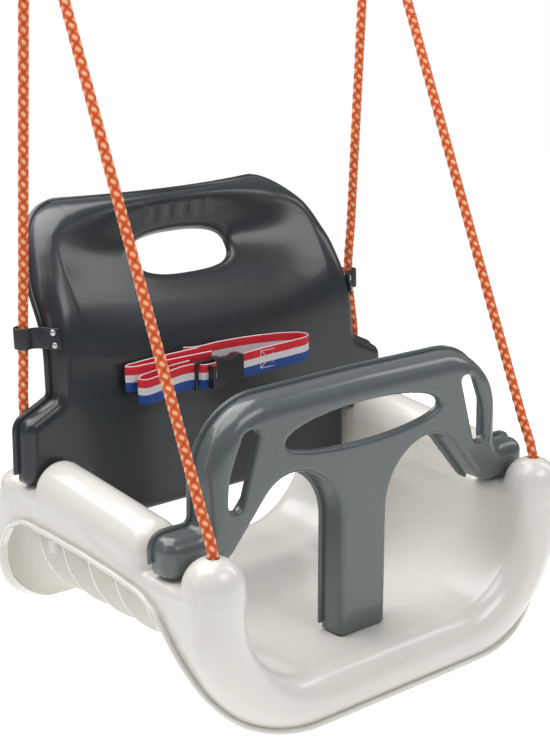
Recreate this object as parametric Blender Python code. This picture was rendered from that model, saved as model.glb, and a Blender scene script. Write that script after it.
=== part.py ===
"""Toddler bucket swing: moulded seat, lift-off T-bar, backrest, lap belt, ropes and beam hangers.

Lengths are in millimetres and become metres when a mesh is made. The seat, the T-bar, the
backrest and the belt are drawn in the seat's own axes: X to the sitter's left, Y from the front
edge to the back, Z up, with the origin on the seat floor under the T-bar's front face. The
hanging hardware is drawn in world axes. The world origin lies midway between the two hangers,
on the plane where their plates meet the beam.
"""

import math

import bmesh
import bpy
import numpy as np
from mathutils import Matrix, Vector

MM = 0.001
GAP = 0.3  # between pieces that touch

# ---- seat shell ----
SEAT_HALF = 165.0  # half width between the side walls
SEAT_BEND = 80.0  # radius of the bottom corners
ROLL = 26.0  # radius of every rolled edge, arm and post
SEAT_WALL = 2.8
FRONT_AXIS_Y = -25.5  # axis of the front roll and of the posts
REAR_AXIS_Y = 262.0
POST_AXIS_Z = 103.0  # height of the front domes' centres
CORNER_AXIS_Z = 108.0  # the same at the rear corners
ARM_START_Y = 58.0
ARM_BACK_Y = 196.5
ARM_AXIS_Z = 112.0
ARM_RISE = 0.105
SADDLE_Z = 101.0  # floor of the front notches
LEDGE_Z = 128.0  # top of the rear ledges
REAR_LEAN = 18.0  # how far the rear edge comes forward between the floor and the ledge
SADDLE_ROUND = 8.0
RIM_WIDTH = 3.5  # the lip that runs round each shell's open edge
ROPE_X = 191.0
ROPE_R = 4.0
ROPE_HOLE_R = 5.6
LEDGE_HOLE = (198.0, 231.0)  # where a rear rope goes through its ledge
PEG = (191.0, 208.0)  # the backrest's peg, in front of it
PEG_R = 5.5
REAR_END_Z = 121.0  # lower end of a rear rope
PEG_Z = (62.0, 128.4)
SEAT_HOLES = [(ROPE_X, FRONT_AXIS_Y, 122.0, ROPE_HOLE_R), (*LEDGE_HOLE, 120.0, ROPE_HOLE_R),
              (*PEG, 121.0, PEG_R + 0.4)]  # x, y, z and radius
RIB_PITCH = 40.0
RIB_FIRST_Y = 32.0
RIB_COUNT = 6
RIB_THICK = 2.4
RIB_OUTER = (192.0, -9.0, 90.0)  # half width, lowest point and corner radius of a rib
# side view of the open arch: (y, z) along the lower edge of the shell
ARCH = [(-60, -36), (-48, -36), (-38, -18), (-30, 4), (-18, 28), (0, 58), (14, 76), (34, 86),
        (70, 92), (120, 96), (180, 98), (214, 97), (238, 86), (254, 64), (266, 34), (276, 8),
        (286, -16), (300, -20)]

# ---- T-bar ----
BAR_FRONT_Y = 1.0
BAR_DEPTH = 25.0
BAR_WALL = 2.5
BAR_EDGE = 15.0  # radius of the outer front edge
BAR_ARCH_EDGE = 6.0
BAR_SLOT_EDGE = 3.4
BAR_FOOT_Z = 0.6
BAR_SLOT_WALL = 7.0
BAR_HALF = [(0, 237, 0), (171, 235, 64), (173, 136, 9), (213, 136, 12), (213, -60, 0), (0, -60, 0)]
BAR_ARCH = [(27.5, -90, 0), (27.5, 166, 56), (100, 166, 40), (153, 104.5, 26), (300, 104.5, 0),
            (300, -90, 0)]
BAR_SIDE_SLOT = [(118.5, 214.5, 5), (136, 213, 9), (151.5, 176, 60), (152.5, 147.5, 6.5),
                 (139, 147.5, 6)]
BAR_LENS = (92.0, 20.0, 16.0, 194.0)  # half length, rise, drop and height of the middle slot

# ---- backrest ----
BACK_FACE_Y = 200.0  # front face at the foot of the wings
BACK_FOOT_Z = 113.0
WING_FOOT_Z = 131.0
BACK_DISH = (30.0, 310.0, 34.0, 150.0)  # depth, height, spread and half width of the scoop
BACK_SWEEP = (-9.0, 20.0, 120.0, 340.0, 32.0)  # top edge: middle, ends, half width, start, rise
BACK_LEAN = 0.05
BACK_RECLINE = 0.60  # extra lean of the head part
BEND_LOW_Z = 225.0
BEND_HIGH_Z = 305.0
BACK_DEPTH = 18.0
BACK_WALL = 3.4
BACK_HALF = [(0, 372, 0), (158, 372, 62), (178, 306, 60), (179, 203, 8), (215.5, 185.5, 12),
             (218, 131, 5), (161, 131, 5), (161, 79, 14), (0, 79, 0)]
HAND_SLOT = (58.0, 19.5, 309.0, 2.6)  # half length, half height, height, roundness
HAND_SLOT_WALL = 9.0
BELT_SLOT_X = 42.0
BELT_SLOT = (2.6, 14.5, 216.0)  # half width, half height, height
BUCKLE_X = (-43.0, -22.0, 13.0)  # tongue's end, socket's mouth, socket's end
BUCKLE_Z = 203.0

# ---- ropes and hangers ----
HANG_TILT = math.radians(7.25)  # the empty seat hangs nose down by this much
APEX = Vector((192.0, 210.0, 668.0))  # where a side's two ropes would meet, seat axes
CLIP_Z = 257.0
CLIP_ROPE = (196.5, 236.6)
CLIP_HEIGHT = 19.0
STOPPER_R = 7.5
KNOT_LOW = 36.0  # knot and ring, measured down or up from the apex
KNOT_HIGH = 4.0
KNOT_SIZE = (24.0, 34.0)
KNOT_Y = -2.5
ROPE_END = 3.0  # ropes stop this far short of the knot
RING_R = 24.0
RING_WIRE = 4.0
EYE_R = 20.0
EYE_LEG = 9.0  # half the distance between the eye's legs at the knot
EYE_RISE = 30.0  # knot top to the middle of the eye's bend
LINK_WIRE = 4.0
LINK_R = 12.5
LINK_STRAIGHT = 30.0
BOLT_R = 4.0
BUSH_R = 7.6
BOLT_DROP = 34.0  # bolt axis below the beam
PLATE = (56.0, 46.0, 4.0)
EAR_X = 17.0
EAR_WIDTH = 30.0
EAR_LOW = 48.0  # lower end of the ears, below the beam
EAR_THICK = 4.0
SCREW_HOLE = (23.5, 2.5)  # distance from the middle, radius
HEX_R = 7.5  # across the corners of the bolt's head and of its nut
HEAD_THICK = 5.0
NUT_THICK = 6.0

MATERIALS = {
    "seat_plastic": ((0.83, 0.81, 0.77), 0.28, 0.0),
    "bar_plastic": ((0.24, 0.29, 0.29), 0.30, 0.0),
    "back_plastic": ((0.055, 0.065, 0.07), 0.28, 0.0),
    "strap_plastic": ((0.05, 0.055, 0.06), 0.45, 0.0),
    "natural_plastic": ((0.85, 0.86, 0.84), 0.35, 0.0),
    "buckle_plastic": ((0.015, 0.015, 0.017), 0.35, 0.0),
    "rope_fibre": ((0.90, 0.22, 0.05), 0.6, 0.0),
    "webbing": ((0.75, 0.06, 0.08), 0.8, 0.0),
    "steel": ((0.62, 0.62, 0.63), 0.3, 1.0),
}


# ---------------------------------------------------------------- scene and materials


def clear_scene():
    for obj in list(bpy.data.objects):
        bpy.data.objects.remove(obj, do_unlink=True)


def material(name):
    found = bpy.data.materials.get(name)
    if found:
        return found
    colour, roughness, metallic = MATERIALS[name]
    made = bpy.data.materials.new(name)
    made.use_nodes = True
    shader = made.node_tree.nodes["Principled BSDF"]
    shader.inputs["Base Color"].default_value = (*colour, 1.0)
    shader.inputs["Roughness"].default_value = roughness
    shader.inputs["Metallic"].default_value = metallic
    return made


def new_object(name, mesh, finish, parent=None):
    obj = bpy.data.objects.new(name, mesh)
    bpy.context.scene.collection.objects.link(obj)
    mesh.materials.append(material(finish))
    if parent:
        obj.parent = parent
    return obj


def mesh_object(name, points, faces, finish, parent=None):
    """Object from points in millimetres."""
    mesh = bpy.data.meshes.new(name)
    mesh.from_pydata([tuple(p * MM for p in point) for point in points], [], faces)
    mesh.shade_smooth()
    mesh.set_sharp_from_angle(angle=math.radians(40))
    return new_object(name, mesh, finish, parent)


def bmesh_object(name, bm, finish, parent=None):
    mesh = bpy.data.meshes.new(name)
    bm.to_mesh(mesh)
    bm.free()
    mesh.shade_smooth()
    mesh.set_sharp_from_angle(angle=math.radians(40))
    return new_object(name, mesh, finish, parent)


def solidify(obj, thickness, detail):
    """Lighten a sheet to a share of its faces and give it its wall, on the inner side."""
    lighter = obj.modifiers.new("lighter", "DECIMATE")
    lighter.ratio = detail
    wall = obj.modifiers.new("wall", "SOLIDIFY")
    wall.thickness = thickness * MM
    wall.offset = -1.0
    wall.use_even_offset = True
    wall.use_quality_normals = True


def boolean(obj, other, operation):
    other.hide_render = True
    other.display_type = "WIRE"
    step = obj.modifiers.new(operation.lower(), "BOOLEAN")
    step.operation = operation
    step.solver = "EXACT"
    step.object = other


# ---------------------------------------------------------------- curved shells from formulas


def surface_net(field, low, high, cell):
    """Points and quads of the surface where field is zero, one point to each grid cell it crosses."""
    axes = [np.arange(a, b + cell, cell) for a, b in zip(low, high)]
    grid = np.stack(np.meshgrid(*axes, indexing="ij"), axis=-1)
    value = field(grid)
    cells = tuple(n - 1 for n in value.shape)
    total = np.zeros(cells + (3,))
    count = np.zeros(cells)
    crossings = []
    for axis in range(3):
        near = value.take(range(value.shape[axis] - 1), axis)
        far = value.take(range(1, value.shape[axis]), axis)
        first, second = (axis + 1) % 3, (axis + 2) % 3
        index = np.argwhere((near < 0) != (far < 0))
        fits = (index[:, first] > 0) & (index[:, second] > 0)
        fits &= (index[:, first] < cells[first]) & (index[:, second] < cells[second])
        index = index[fits]
        key = tuple(index.T)
        share = near[key] / (near[key] - far[key])
        point = grid[key].copy()
        point[:, axis] += share * cell
        corners = []
        for a, b in ((-1, -1), (0, -1), (0, 0), (-1, 0)):
            corner = index.copy()
            corner[:, first] += a
            corner[:, second] += b
            corners.append(corner)
            np.add.at(total, tuple(corner.T), point)
            np.add.at(count, tuple(corner.T), 1)
        crossings.append((corners, near[key] < 0))
    number = np.full(cells, -1)
    used = count > 0
    number[used] = np.arange(used.sum())
    points = total[used] / count[used][:, None]
    quads = []
    for corners, outward in crossings:
        quad = np.stack([number[tuple(c.T)] for c in corners], axis=1)
        quads.append(np.where(outward[:, None], quad, quad[:, ::-1]))
    return points, np.concatenate(quads)


def slope(field, points, step=0.05):
    """Gradient of a field at each point."""
    parts = []
    for axis in range(3):
        shift = np.zeros(3)
        shift[axis] = step
        parts.append((field(points + shift) - field(points - shift)) / (2 * step))
    return np.stack(parts, axis=-1)


def settle(field, points, rounds=3):
    """Move points onto the surface where field is zero."""
    for _ in range(rounds):
        grad = slope(field, points)
        length = np.maximum((grad**2).sum(-1), 0.05)
        points = points - grad * (field(points) / length)[:, None]
    return points


def relax(field, points, quads, rounds):
    """Even out a surface net without leaving the surface."""
    edges = np.concatenate([quads[:, [i, (i + 1) % 4]] for i in range(4)])
    for _ in range(rounds):
        total = np.zeros_like(points)
        count = np.zeros(len(points))
        for a, b in ((0, 1), (1, 0)):
            np.add.at(total, edges[:, a], points[edges[:, b]])
            np.add.at(count, edges[:, a], 1)
        points = settle(field, 0.5 * points + 0.5 * total / count[:, None], 1)
    return settle(field, points, 2)


def trim(points, faces, keep):
    """Cut a mesh where keep changes sign, and drop the side where it is positive."""
    value = keep(points)
    value = np.where(np.abs(value) < 0.05, -0.05, value)
    points = list(map(tuple, points))
    made = {}
    kept = []
    for face in faces:
        side = [value[i] <= 0 for i in face]
        if all(side):
            kept.append(tuple(int(i) for i in face))
        if all(side) or not any(side):
            continue
        ring = []
        for a, b in zip(face, np.roll(face, -1)):
            a, b = int(a), int(b)
            if value[a] <= 0:
                ring.append(a)
            if (value[a] <= 0) != (value[b] <= 0):
                key = (min(a, b), max(a, b))
                if key not in made:
                    t = value[key[0]] / (value[key[0]] - value[key[1]])
                    start, end = np.array(points[key[0]]), np.array(points[key[1]])
                    made[key] = len(points)
                    points.append(tuple(start + t * (end - start)))
                ring.append(made[key])
        kept.append(tuple(ring))
    used = sorted({i for face in kept for i in face})
    place = {old: new for new, old in enumerate(used)}
    return [points[i] for i in used], [tuple(place[i] for i in face) for face in kept]


def add_rim(points, faces, field, width, wanted):
    """Turn the open edges outward by width, where wanted says so."""
    edges = {}
    for face in faces:
        for a, b in zip(face, face[1:] + face[:1]):
            edges[(a, b)] = True
    border = [(a, b) for a, b in edges if (b, a) not in edges]
    where = np.array(points)
    border = [(a, b) for a, b in border if wanted(where[a]) and wanted(where[b])]
    corners = sorted({i for edge in border for i in edge})
    normal = slope(field, where[corners])
    normal /= np.linalg.norm(normal, axis=1)[:, None]
    outer = {}
    for corner, direction in zip(corners, normal):
        outer[corner] = len(points)
        points.append(tuple(where[corner] + width * direction))
    for a, b in border:
        faces.append((b, a, outer[a], outer[b]))
    return points, faces


# ---------------------------------------------------------------- outlines


def round_outline(corners, steps=7):
    """Closed outline through corners (x, z, radius), each rounded by an arc."""
    points = []
    total = len(corners)
    for i, (x, z, radius) in enumerate(corners):
        corner = np.array((x, z), float)
        before = np.array(corners[i - 1][:2], float) - corner
        after = np.array(corners[(i + 1) % total][:2], float) - corner
        before /= np.linalg.norm(before)
        after /= np.linalg.norm(after)
        half = math.acos(max(-1.0, min(1.0, float(before @ after)))) / 2
        if radius <= 0 or half > 1.55:
            points.append(corner)
            continue
        reach = radius / math.tan(half)
        middle = before + after
        middle = corner + middle / np.linalg.norm(middle) * radius / math.sin(half)
        start = corner + before * reach - middle
        end = corner + after * reach - middle
        turn = math.atan2(start[0] * end[1] - start[1] * end[0], start @ end)
        for k in range(steps + 1):
            c, s = math.cos(turn * k / steps), math.sin(turn * k / steps)
            points.append(middle + (c * start[0] - s * start[1], s * start[0] + c * start[1]))
    return np.array(points)


def both_sides(half):
    """Full outline from a right half that starts and ends on the middle line."""
    left = [(-x, z, r) for x, z, r in reversed(half) if x > 0]
    return list(half) + left


def mirrored(corners):
    return [(-x, z, r) for x, z, r in reversed(corners)]


def outline_distance(outline, x, z):
    """Distance to a closed outline, negative inside."""
    near = np.full(np.shape(x), 1e9)
    inside = np.zeros(np.shape(x), bool)
    for (ax, az), (bx, bz) in zip(outline, np.roll(outline, -1, axis=0)):
        dx, dz = bx - ax, bz - az
        length = dx * dx + dz * dz
        if length < 1e-9:
            continue
        t = np.clip(((x - ax) * dx + (z - az) * dz) / length, 0, 1)
        near = np.minimum(near, (x - ax - t * dx) ** 2 + (z - az - t * dz) ** 2)
        if az != bz:
            crosses = ((az > z) != (bz > z)) & (x < ax + (z - az) * dx / dz)
            inside ^= crosses
    near = np.sqrt(near)
    return np.where(inside, -near, near)


def round_corner(a, b, radius):
    """Inside both a < 0 and b < 0, with a round edge where they meet."""
    pa, pb = a + radius, b + radius
    outside = np.hypot(np.maximum(pa, 0), np.maximum(pb, 0))
    return outside + np.minimum(np.maximum(pa, pb), 0) - radius


def blend_min(a, b, width):
    """Smooth union of two fields."""
    h = np.maximum(width - np.abs(a - b), 0) / np.maximum(width, 1e-6)
    return np.minimum(a, b) - h * h * width / 4


def smooth_step(t):
    t = np.clip(t, 0, 1)
    return t * t * (3 - 2 * t)


def fill_outline(outline, low, high, to_point, name, finish, parent=None):
    """Prism on an outline; to_point places (u, v, depth)."""
    count = len(outline)
    points = [to_point(u, v, low) for u, v in outline] + [to_point(u, v, high) for u, v in outline]
    faces = [tuple(range(count))[::-1], tuple(range(count, 2 * count))]
    faces += [(i, (i + 1) % count, count + (i + 1) % count, count + i) for i in range(count)]
    obj = mesh_object(name, points, faces, finish, parent)
    bm = bmesh.new()
    bm.from_mesh(obj.data)
    bmesh.ops.recalc_face_normals(bm, faces=bm.faces)
    bm.to_mesh(obj.data)
    bm.free()
    return obj


# ---------------------------------------------------------------- seat


def channel_offset(x, z):
    """How far a point lies outside the U-shaped inner face of the seat."""
    across = np.abs(x) - (SEAT_HALF - SEAT_BEND)
    down = SEAT_BEND - z
    corner = np.hypot(np.maximum(across, 0), np.maximum(down, 0))
    return corner + np.minimum(np.maximum(across, down), 0) - SEAT_BEND


def seat_field(p):
    """The seat as a thick U with rolled edges, two posts, two arms and notches between them."""
    x, y, z = p[..., 0], p[..., 1], p[..., 2]
    m = channel_offset(x, z) - ROLL
    rear_axis = REAR_AXIS_Y - REAR_LEAN * smooth_step((z - 40) / 90)
    past = np.maximum(np.maximum(FRONT_AXIS_Y - y, y - rear_axis), 0)
    roll = np.hypot(m, past) - ROLL
    floor = SADDLE_Z + (LEDGE_Z - SADDLE_Z) * smooth_step((y - 60) / 90)
    body = round_corner(roll, z - floor, SADDLE_ROUND)
    soft = 5 * smooth_step((z - 84) / 16) + 0.01
    arm_axis = ARM_AXIS_Z + ARM_RISE * (y - ARM_START_Y)
    for start, end, axis, back in (
        (FRONT_AXIS_Y, FRONT_AXIS_Y, POST_AXIS_Z, 400),
        (ARM_START_Y, 400, arm_axis, ARM_BACK_Y),
        (rear_axis, rear_axis, CORNER_AXIS_Z, 400),
    ):
        along = np.maximum(np.maximum(start - y, y - end), 0)
        dome = np.sqrt(m**2 + along**2 + np.maximum(z - axis, 0) ** 2) - ROLL
        body = blend_min(body, round_corner(dome, y - back, 5), soft)
    return body


def seat_opening(p):
    """Positive where the underside of the seat is open."""
    arch = np.array(ARCH, float)
    edge = np.interp(p[..., 1], arch[:, 0], arch[:, 1])
    outer = channel_offset(p[..., 0], p[..., 2]) - 0.75 * ROLL
    return np.minimum(edge - p[..., 2], outer)


def rib_outline(steps=7):
    """One floor rib in the XZ plane: a plate between the seat's wall and a wider, shallower U."""
    half, low, corner = RIB_OUTER
    inner = (SEAT_HALF - SEAT_BEND, SEAT_BEND, SEAT_BEND + SEAT_WALL - 1.2)
    points = []
    for (x, z, radius), order in ((inner, 1), ((half - corner, low + corner, corner), -1)):
        turn = [math.pi / 2 * k / steps for k in range(steps + 1)]
        right = [(x + radius * math.sin(a), z - radius * math.cos(a)) for a in turn]
        left = [(-u, v) for u, v in reversed(right)]
        points += (left + right)[::order]
    return points


def make_seat(parent, cell):
    low = (-SEAT_HALF - 2 * ROLL - 12, FRONT_AXIS_Y - ROLL - 12, -2 * ROLL - 12)
    high = (SEAT_HALF + 2 * ROLL + 12, REAR_AXIS_Y + ROLL + 12, 165)
    points, quads = surface_net(seat_field, low, high, cell)
    points = relax(seat_field, points, quads, 4)
    points, faces = trim(points, quads, seat_opening)
    points, faces = add_rim(points, faces, seat_field, RIM_WIDTH, lambda q: True)
    seat = mesh_object("seat_shell", points, faces, "seat_plastic", parent)
    solidify(seat, SEAT_WALL, 0.8)
    for number in range(RIB_COUNT):
        y = RIB_FIRST_Y + RIB_PITCH * number
        rib = fill_outline(rib_outline(), y, y + RIB_THICK, lambda u, v, d: (u, d, v),
                           f"rib_cutter_{number}", "seat_plastic", parent)
        boolean(seat, rib, "UNION")
    for side in (-1, 1):
        for x, y, z, radius in SEAT_HOLES:
            hole = cylinder(f"hole_cutter_{side}_{z}", radius, 30, 20, "seat_plastic", parent)
            hole.location = Vector((side * x, y, z)) * MM
            boolean(seat, hole, "DIFFERENCE")
    return seat


# ---------------------------------------------------------------- T-bar


def bar_field(p):
    """The T-bar as a plate with rounded front edges; its open back lies at BAR_DEPTH."""
    x, y, z = p[..., 0], p[..., 1], p[..., 2]
    shape = round_corner(outline_distance(BAR_OUTLINE, x, z), -y, BAR_EDGE)
    shape = np.maximum(shape, BAR_FOOT_Z - z)
    for outline in BAR_CUTS:
        shape = np.maximum(shape, round_corner(-outline_distance(outline, x, z), -y, BAR_ARCH_EDGE))
    for outline in BAR_SLOTS:
        shape = np.maximum(shape, round_corner(-outline_distance(outline, x, z), -y, BAR_SLOT_EDGE))
    return shape


def bar_opening(p):
    """Positive behind the T-bar's open back, and behind the short walls of its slots."""
    x, y, z = p[..., 0], p[..., 1], p[..., 2]
    near = np.min([np.abs(outline_distance(outline, x, z)) for outline in BAR_SLOTS], axis=0)
    return np.maximum(y - BAR_DEPTH, np.minimum(3.0 - near, y - BAR_SLOT_WALL))


def lens_outline(count=32):
    half, rise, drop, height = BAR_LENS
    points = []
    for k in range(count):
        angle = 2 * math.pi * k / count
        reach = rise if math.sin(angle) > 0 else drop
        points.append((half * math.cos(angle), height + reach * math.sin(angle)))
    return np.array(points)


BAR_OUTLINE = round_outline(both_sides(BAR_HALF))
BAR_CUTS = [round_outline(BAR_ARCH), round_outline(mirrored(BAR_ARCH))]
BAR_SLOTS = [lens_outline(), round_outline(BAR_SIDE_SLOT, 4), round_outline(mirrored(BAR_SIDE_SLOT), 4)]


def make_bar(parent, cell):
    low, high = (-226, -12, -12), (226, BAR_DEPTH + 12, 250)
    points, quads = surface_net(bar_field, low, high, cell)
    points = relax(bar_field, points, quads, 3)
    points, faces = trim(points, quads, bar_opening)

    def on_outer_edge(q):
        slot = min(outline_distance(o, np.array(q[0]), np.array(q[2])) for o in BAR_SLOTS)
        over_saddle = abs(q[0]) > 158 and q[2] < 112
        return slot > 3 and q[2] > 6 and not over_saddle

    points, faces = add_rim(points, faces, bar_field, RIM_WIDTH, on_outer_edge)
    bar = mesh_object("t_bar", points, faces, "bar_plastic", parent)
    bar.location.y = BAR_FRONT_Y * MM
    solidify(bar, BAR_WALL, 0.5)
    return bar


# ---------------------------------------------------------------- backrest


def back_lean(z):
    """Slope of the backrest's face, dy/dz, at a height."""
    return BACK_LEAN + BACK_RECLINE * smooth_step((z - BEND_LOW_Z) / (BEND_HIGH_Z - BEND_LOW_Z))


BACK_Z = np.linspace(40, 420, 381)
BACK_Y = BACK_FACE_Y + np.concatenate([[0], np.cumsum(back_lean(BACK_Z[:-1] + 0.5))])
BACK_Y -= np.interp(BACK_FOOT_Z, BACK_Z, BACK_Y) - BACK_FACE_Y


def back_bow(x, height):
    """How far the backrest's face lies behind the plain bent plate: a scoop and swept-back corners."""
    depth, middle, spread, half = BACK_DISH
    scoop = depth * np.exp(-(((height - middle) / spread) ** 2)) * np.maximum(1 - (x / half) ** 2, 0)
    centre, ends, reach, start, rise = BACK_SWEEP
    sweep = centre + ends * np.minimum((x / reach) ** 2, 1)
    return scoop + sweep * smooth_step((height - start) / rise)


def back_point(x, height, depth):
    """Place a point of the flat backrest pattern on the bent backrest."""
    lean = back_lean(height)
    scale = np.sqrt(1 + lean**2)
    y = np.interp(height, BACK_Z, BACK_Y) + back_bow(x, height) + depth / scale
    return np.stack([x, y, height - depth * lean / scale], axis=-1)


def hand_slot_distance(x, z):
    half, rise, height, power = HAND_SLOT
    ratio = (np.abs(x / half) ** power + np.abs((z - height) / rise) ** power) ** (1 / power)
    return (ratio - 1) * rise


def back_field(p):
    """The flat backrest pattern: x across, y depth behind the face, z height along it."""
    x, y, z = p[..., 0], p[..., 1], p[..., 2]
    edge = 10 + 14 * smooth_step((z - 205) / 130)
    shape = round_corner(outline_distance(BACK_OUTLINE, x, z), -y, edge)
    return np.maximum(shape, round_corner(-hand_slot_distance(x, z), -y, 4.2))


BACK_OUTLINE = round_outline(both_sides(BACK_HALF))


def back_opening(p):
    """Positive behind the backrest's open back, and behind the hand slot's short wall."""
    x, y, z = p[..., 0], p[..., 1], p[..., 2]
    near_slot = 3.0 - np.abs(hand_slot_distance(x, z))
    return np.maximum(y - BACK_DEPTH, np.minimum(near_slot, y - HAND_SLOT_WALL))


def make_back(parent, cell):
    low, high = (-232, -12, 66), (232, BACK_DEPTH + 12, 392)
    points, quads = surface_net(back_field, low, high, cell)
    points = relax(back_field, points, quads, 3)
    points, faces = trim(points, quads, back_opening)

    def on_outer_edge(q):
        return q[1] > BACK_DEPTH - 1 and q[2] > WING_FOOT_Z + 6

    points, faces = add_rim(points, faces, back_field, RIM_WIDTH, on_outer_edge)
    flat = np.array(points)
    bent = back_point(flat[:, 0], flat[:, 2], flat[:, 1])
    back = mesh_object("backrest", [tuple(q) for q in bent], faces, "back_plastic", parent)
    solidify(back, BACK_WALL, 0.5)
    half, rise, height = BELT_SLOT
    slot_y = float(np.interp(height, BACK_Z, BACK_Y))
    for side in (-1, 1):
        slot = box(f"slot_cutter_{side}", (2 * half, 30, 2 * rise), "back_plastic", parent)
        slot.location = Vector((side * BELT_SLOT_X, slot_y, height)) * MM
        boolean(back, slot, "DIFFERENCE")
    return back


# ---------------------------------------------------------------- simple solids


def cylinder(name, radius, length, sides, finish, parent=None, radius_high=None):
    bm = bmesh.new()
    high = radius if radius_high is None else radius_high
    bmesh.ops.create_cone(bm, cap_ends=True, segments=sides, radius1=radius * MM,
                          radius2=high * MM, depth=length * MM)
    return bmesh_object(name, bm, finish, parent)


def box(name, size, finish, parent=None, round_edge=0.0):
    bm = bmesh.new()
    bmesh.ops.create_cube(bm, size=1.0)
    bmesh.ops.scale(bm, vec=[s * MM for s in size], verts=bm.verts)
    if round_edge:
        bmesh.ops.bevel(bm, geom=bm.edges, offset=round_edge * MM, segments=2, affect="EDGES",
                        profile=0.5)
    return bmesh_object(name, bm, finish, parent)


def torus(name, radius, wire, finish, parent=None, around=28, across=10):
    """Ring in the XZ plane."""
    points, faces = [], []
    for i in range(around):
        a = 2 * math.pi * i / around
        for j in range(across):
            b = 2 * math.pi * j / across
            reach = radius + wire * math.cos(b)
            points.append((reach * math.cos(a), wire * math.sin(b), reach * math.sin(a)))
            k = (i + 1) % around * across
            n = (j + 1) % across
            faces.append((i * across + j, i * across + n, k + n, k + j))
    return mesh_object(name, points, faces, finish, parent)


def rod(name, path, radius, finish, parent=None, closed=False, sides=2):
    """Round bar or rope along points in millimetres."""
    curve = bpy.data.curves.new(name, "CURVE")
    curve.dimensions = "3D"
    curve.bevel_depth = radius * MM
    curve.bevel_resolution = sides
    curve.use_fill_caps = not closed
    spline = curve.splines.new("POLY")
    spline.points.add(len(path) - 1)
    for point, place in zip(spline.points, path):
        point.co = (*(c * MM for c in place), 1.0)
    spline.use_cyclic_u = closed
    return new_object(name, curve, finish, parent)


def tube(name, outer, inner, length, sides, finish, parent=None):
    """Open tube along Z."""
    points, faces = [], []
    for z in (-length / 2, length / 2):
        for radius in (outer, inner):
            for k in range(sides):
                a = 2 * math.pi * k / sides
                points.append((radius * math.cos(a), radius * math.sin(a), z))
    for k in range(sides):
        n = (k + 1) % sides
        faces.append((k, n, 2 * sides + n, 2 * sides + k))
        faces.append((sides + n, sides + k, 3 * sides + k, 3 * sides + n))
        faces.append((n, k, sides + k, sides + n))
        faces.append((2 * sides + k, 2 * sides + n, 3 * sides + n, 3 * sides + k))
    return mesh_object(name, points, faces, finish, parent)


def band(name, path, thickness, height, finish, parent, to_point):
    """Strap of constant thickness along an open plan path."""
    path = np.array(path, float)
    ahead = np.gradient(path, axis=0)
    ahead /= np.linalg.norm(ahead, axis=1)[:, None]
    side = np.stack([-ahead[:, 1], ahead[:, 0]], axis=1) * thickness / 2
    outline = [tuple(q) for q in np.concatenate([path + side, (path - side)[::-1]])]
    return fill_outline(outline, -height / 2, height / 2, to_point, name, finish, parent)


# ---------------------------------------------------------------- ropes, clips and stoppers


def smooth_path(points, spacing):
    """Evenly spaced points on a smooth curve through the given ones."""
    points = np.array(points, float)
    length = np.concatenate([[0], np.cumsum(np.linalg.norm(np.diff(points, axis=0), axis=1))])
    slopes = np.gradient(points, length, axis=0)
    fine = np.linspace(0, length[-1], 600)
    k = np.clip(np.searchsorted(length, fine) - 1, 0, len(points) - 2)
    h = (length[k + 1] - length[k])[:, None]
    t = (fine - length[k])[:, None] / h
    curve = ((1 + 2 * t) * (1 - t) ** 2 * points[k] + t * (1 - t) ** 2 * h * slopes[k]
             + t * t * (3 - 2 * t) * points[k + 1] + t * t * (t - 1) * h * slopes[k + 1])
    walked = np.concatenate([[0], np.cumsum(np.linalg.norm(np.diff(curve, axis=0), axis=1))])
    count = int(round(walked[-1] / spacing)) + 1
    even = np.linspace(0, walked[-1], count)
    return np.stack([np.interp(even, walked, curve[:, a]) for a in range(3)], axis=1)


def front_rope_points(side):
    """Seat axes: from the stopper inside the post, out of the dome, up to the knot."""
    low = Vector((side * ROPE_X, FRONT_AXIS_Y, POST_AXIS_Z + ROLL))
    apex = Vector((side * APEX.x, APEX.y, APEX.z))
    run = (apex - low).normalized()
    end = apex - run * ((KNOT_LOW + ROPE_END) / run.z)
    inside = [(side * ROPE_X, FRONT_AXIS_Y - 1.5, 96.0), (side * ROPE_X, FRONT_AXIS_Y - 1.0, 110.0)]
    return inside + [tuple(low + run * s) for s in (2, 40, 150, 300, 450)] + [tuple(end)]


def rear_rope_points(side):
    """Seat axes: from the stopper under the rear ledge, up behind the wing and through the clip."""
    clip = Vector((side * CLIP_ROPE[0], CLIP_ROPE[1], CLIP_Z))
    apex = Vector((side * APEX.x, APEX.y, APEX.z))
    run = (apex - clip).normalized()
    end = apex - run * ((KNOT_LOW + ROPE_END) / run.z)
    x, y = side * LEDGE_HOLE[0], LEDGE_HOLE[1]
    inside = [(x, y, REAR_END_Z), (x, y, 135.0), (x + side * 2, y + 1, 165.0),
              (x + side * 3.5, y + 1.6, 200.0), (x + side, y + 3.5, 228.0)]
    return inside + [tuple(clip)] + [tuple(clip + run * s) for s in (60, 170, 280)] + [tuple(end)]


def make_ropes(parent):
    for side, word in ((-1, "left"), (1, "right")):
        for end, points in (("front", front_rope_points(side)), ("rear", rear_rope_points(side))):
            path = smooth_path(points, 22.0)
            rod(f"{word}_{end}_rope", path, ROPE_R, "rope_fibre", parent)
        plug = cylinder(f"{word}_front_stopper", 9.5, 22, 16, "natural_plastic", parent, STOPPER_R)
        plug.location = Vector((side * ROPE_X, FRONT_AXIS_Y - 1.5, 96 - GAP - 11)) * MM
        sleeve = cylinder(f"{word}_rear_stopper", STOPPER_R, 22, 16, "natural_plastic", parent)
        sleeve.location = Vector((side * LEDGE_HOLE[0], LEDGE_HOLE[1], REAR_END_Z - GAP - 11)) * MM
        peg = cylinder(f"{word}_backrest_peg", PEG_R, PEG_Z[1] - PEG_Z[0], 16, "natural_plastic", parent)
        peg.location = Vector((side * PEG[0], PEG[1], sum(PEG_Z) / 2)) * MM


BACK_EDGE_X = 178.5  # half the backrest's width at the clips


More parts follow.
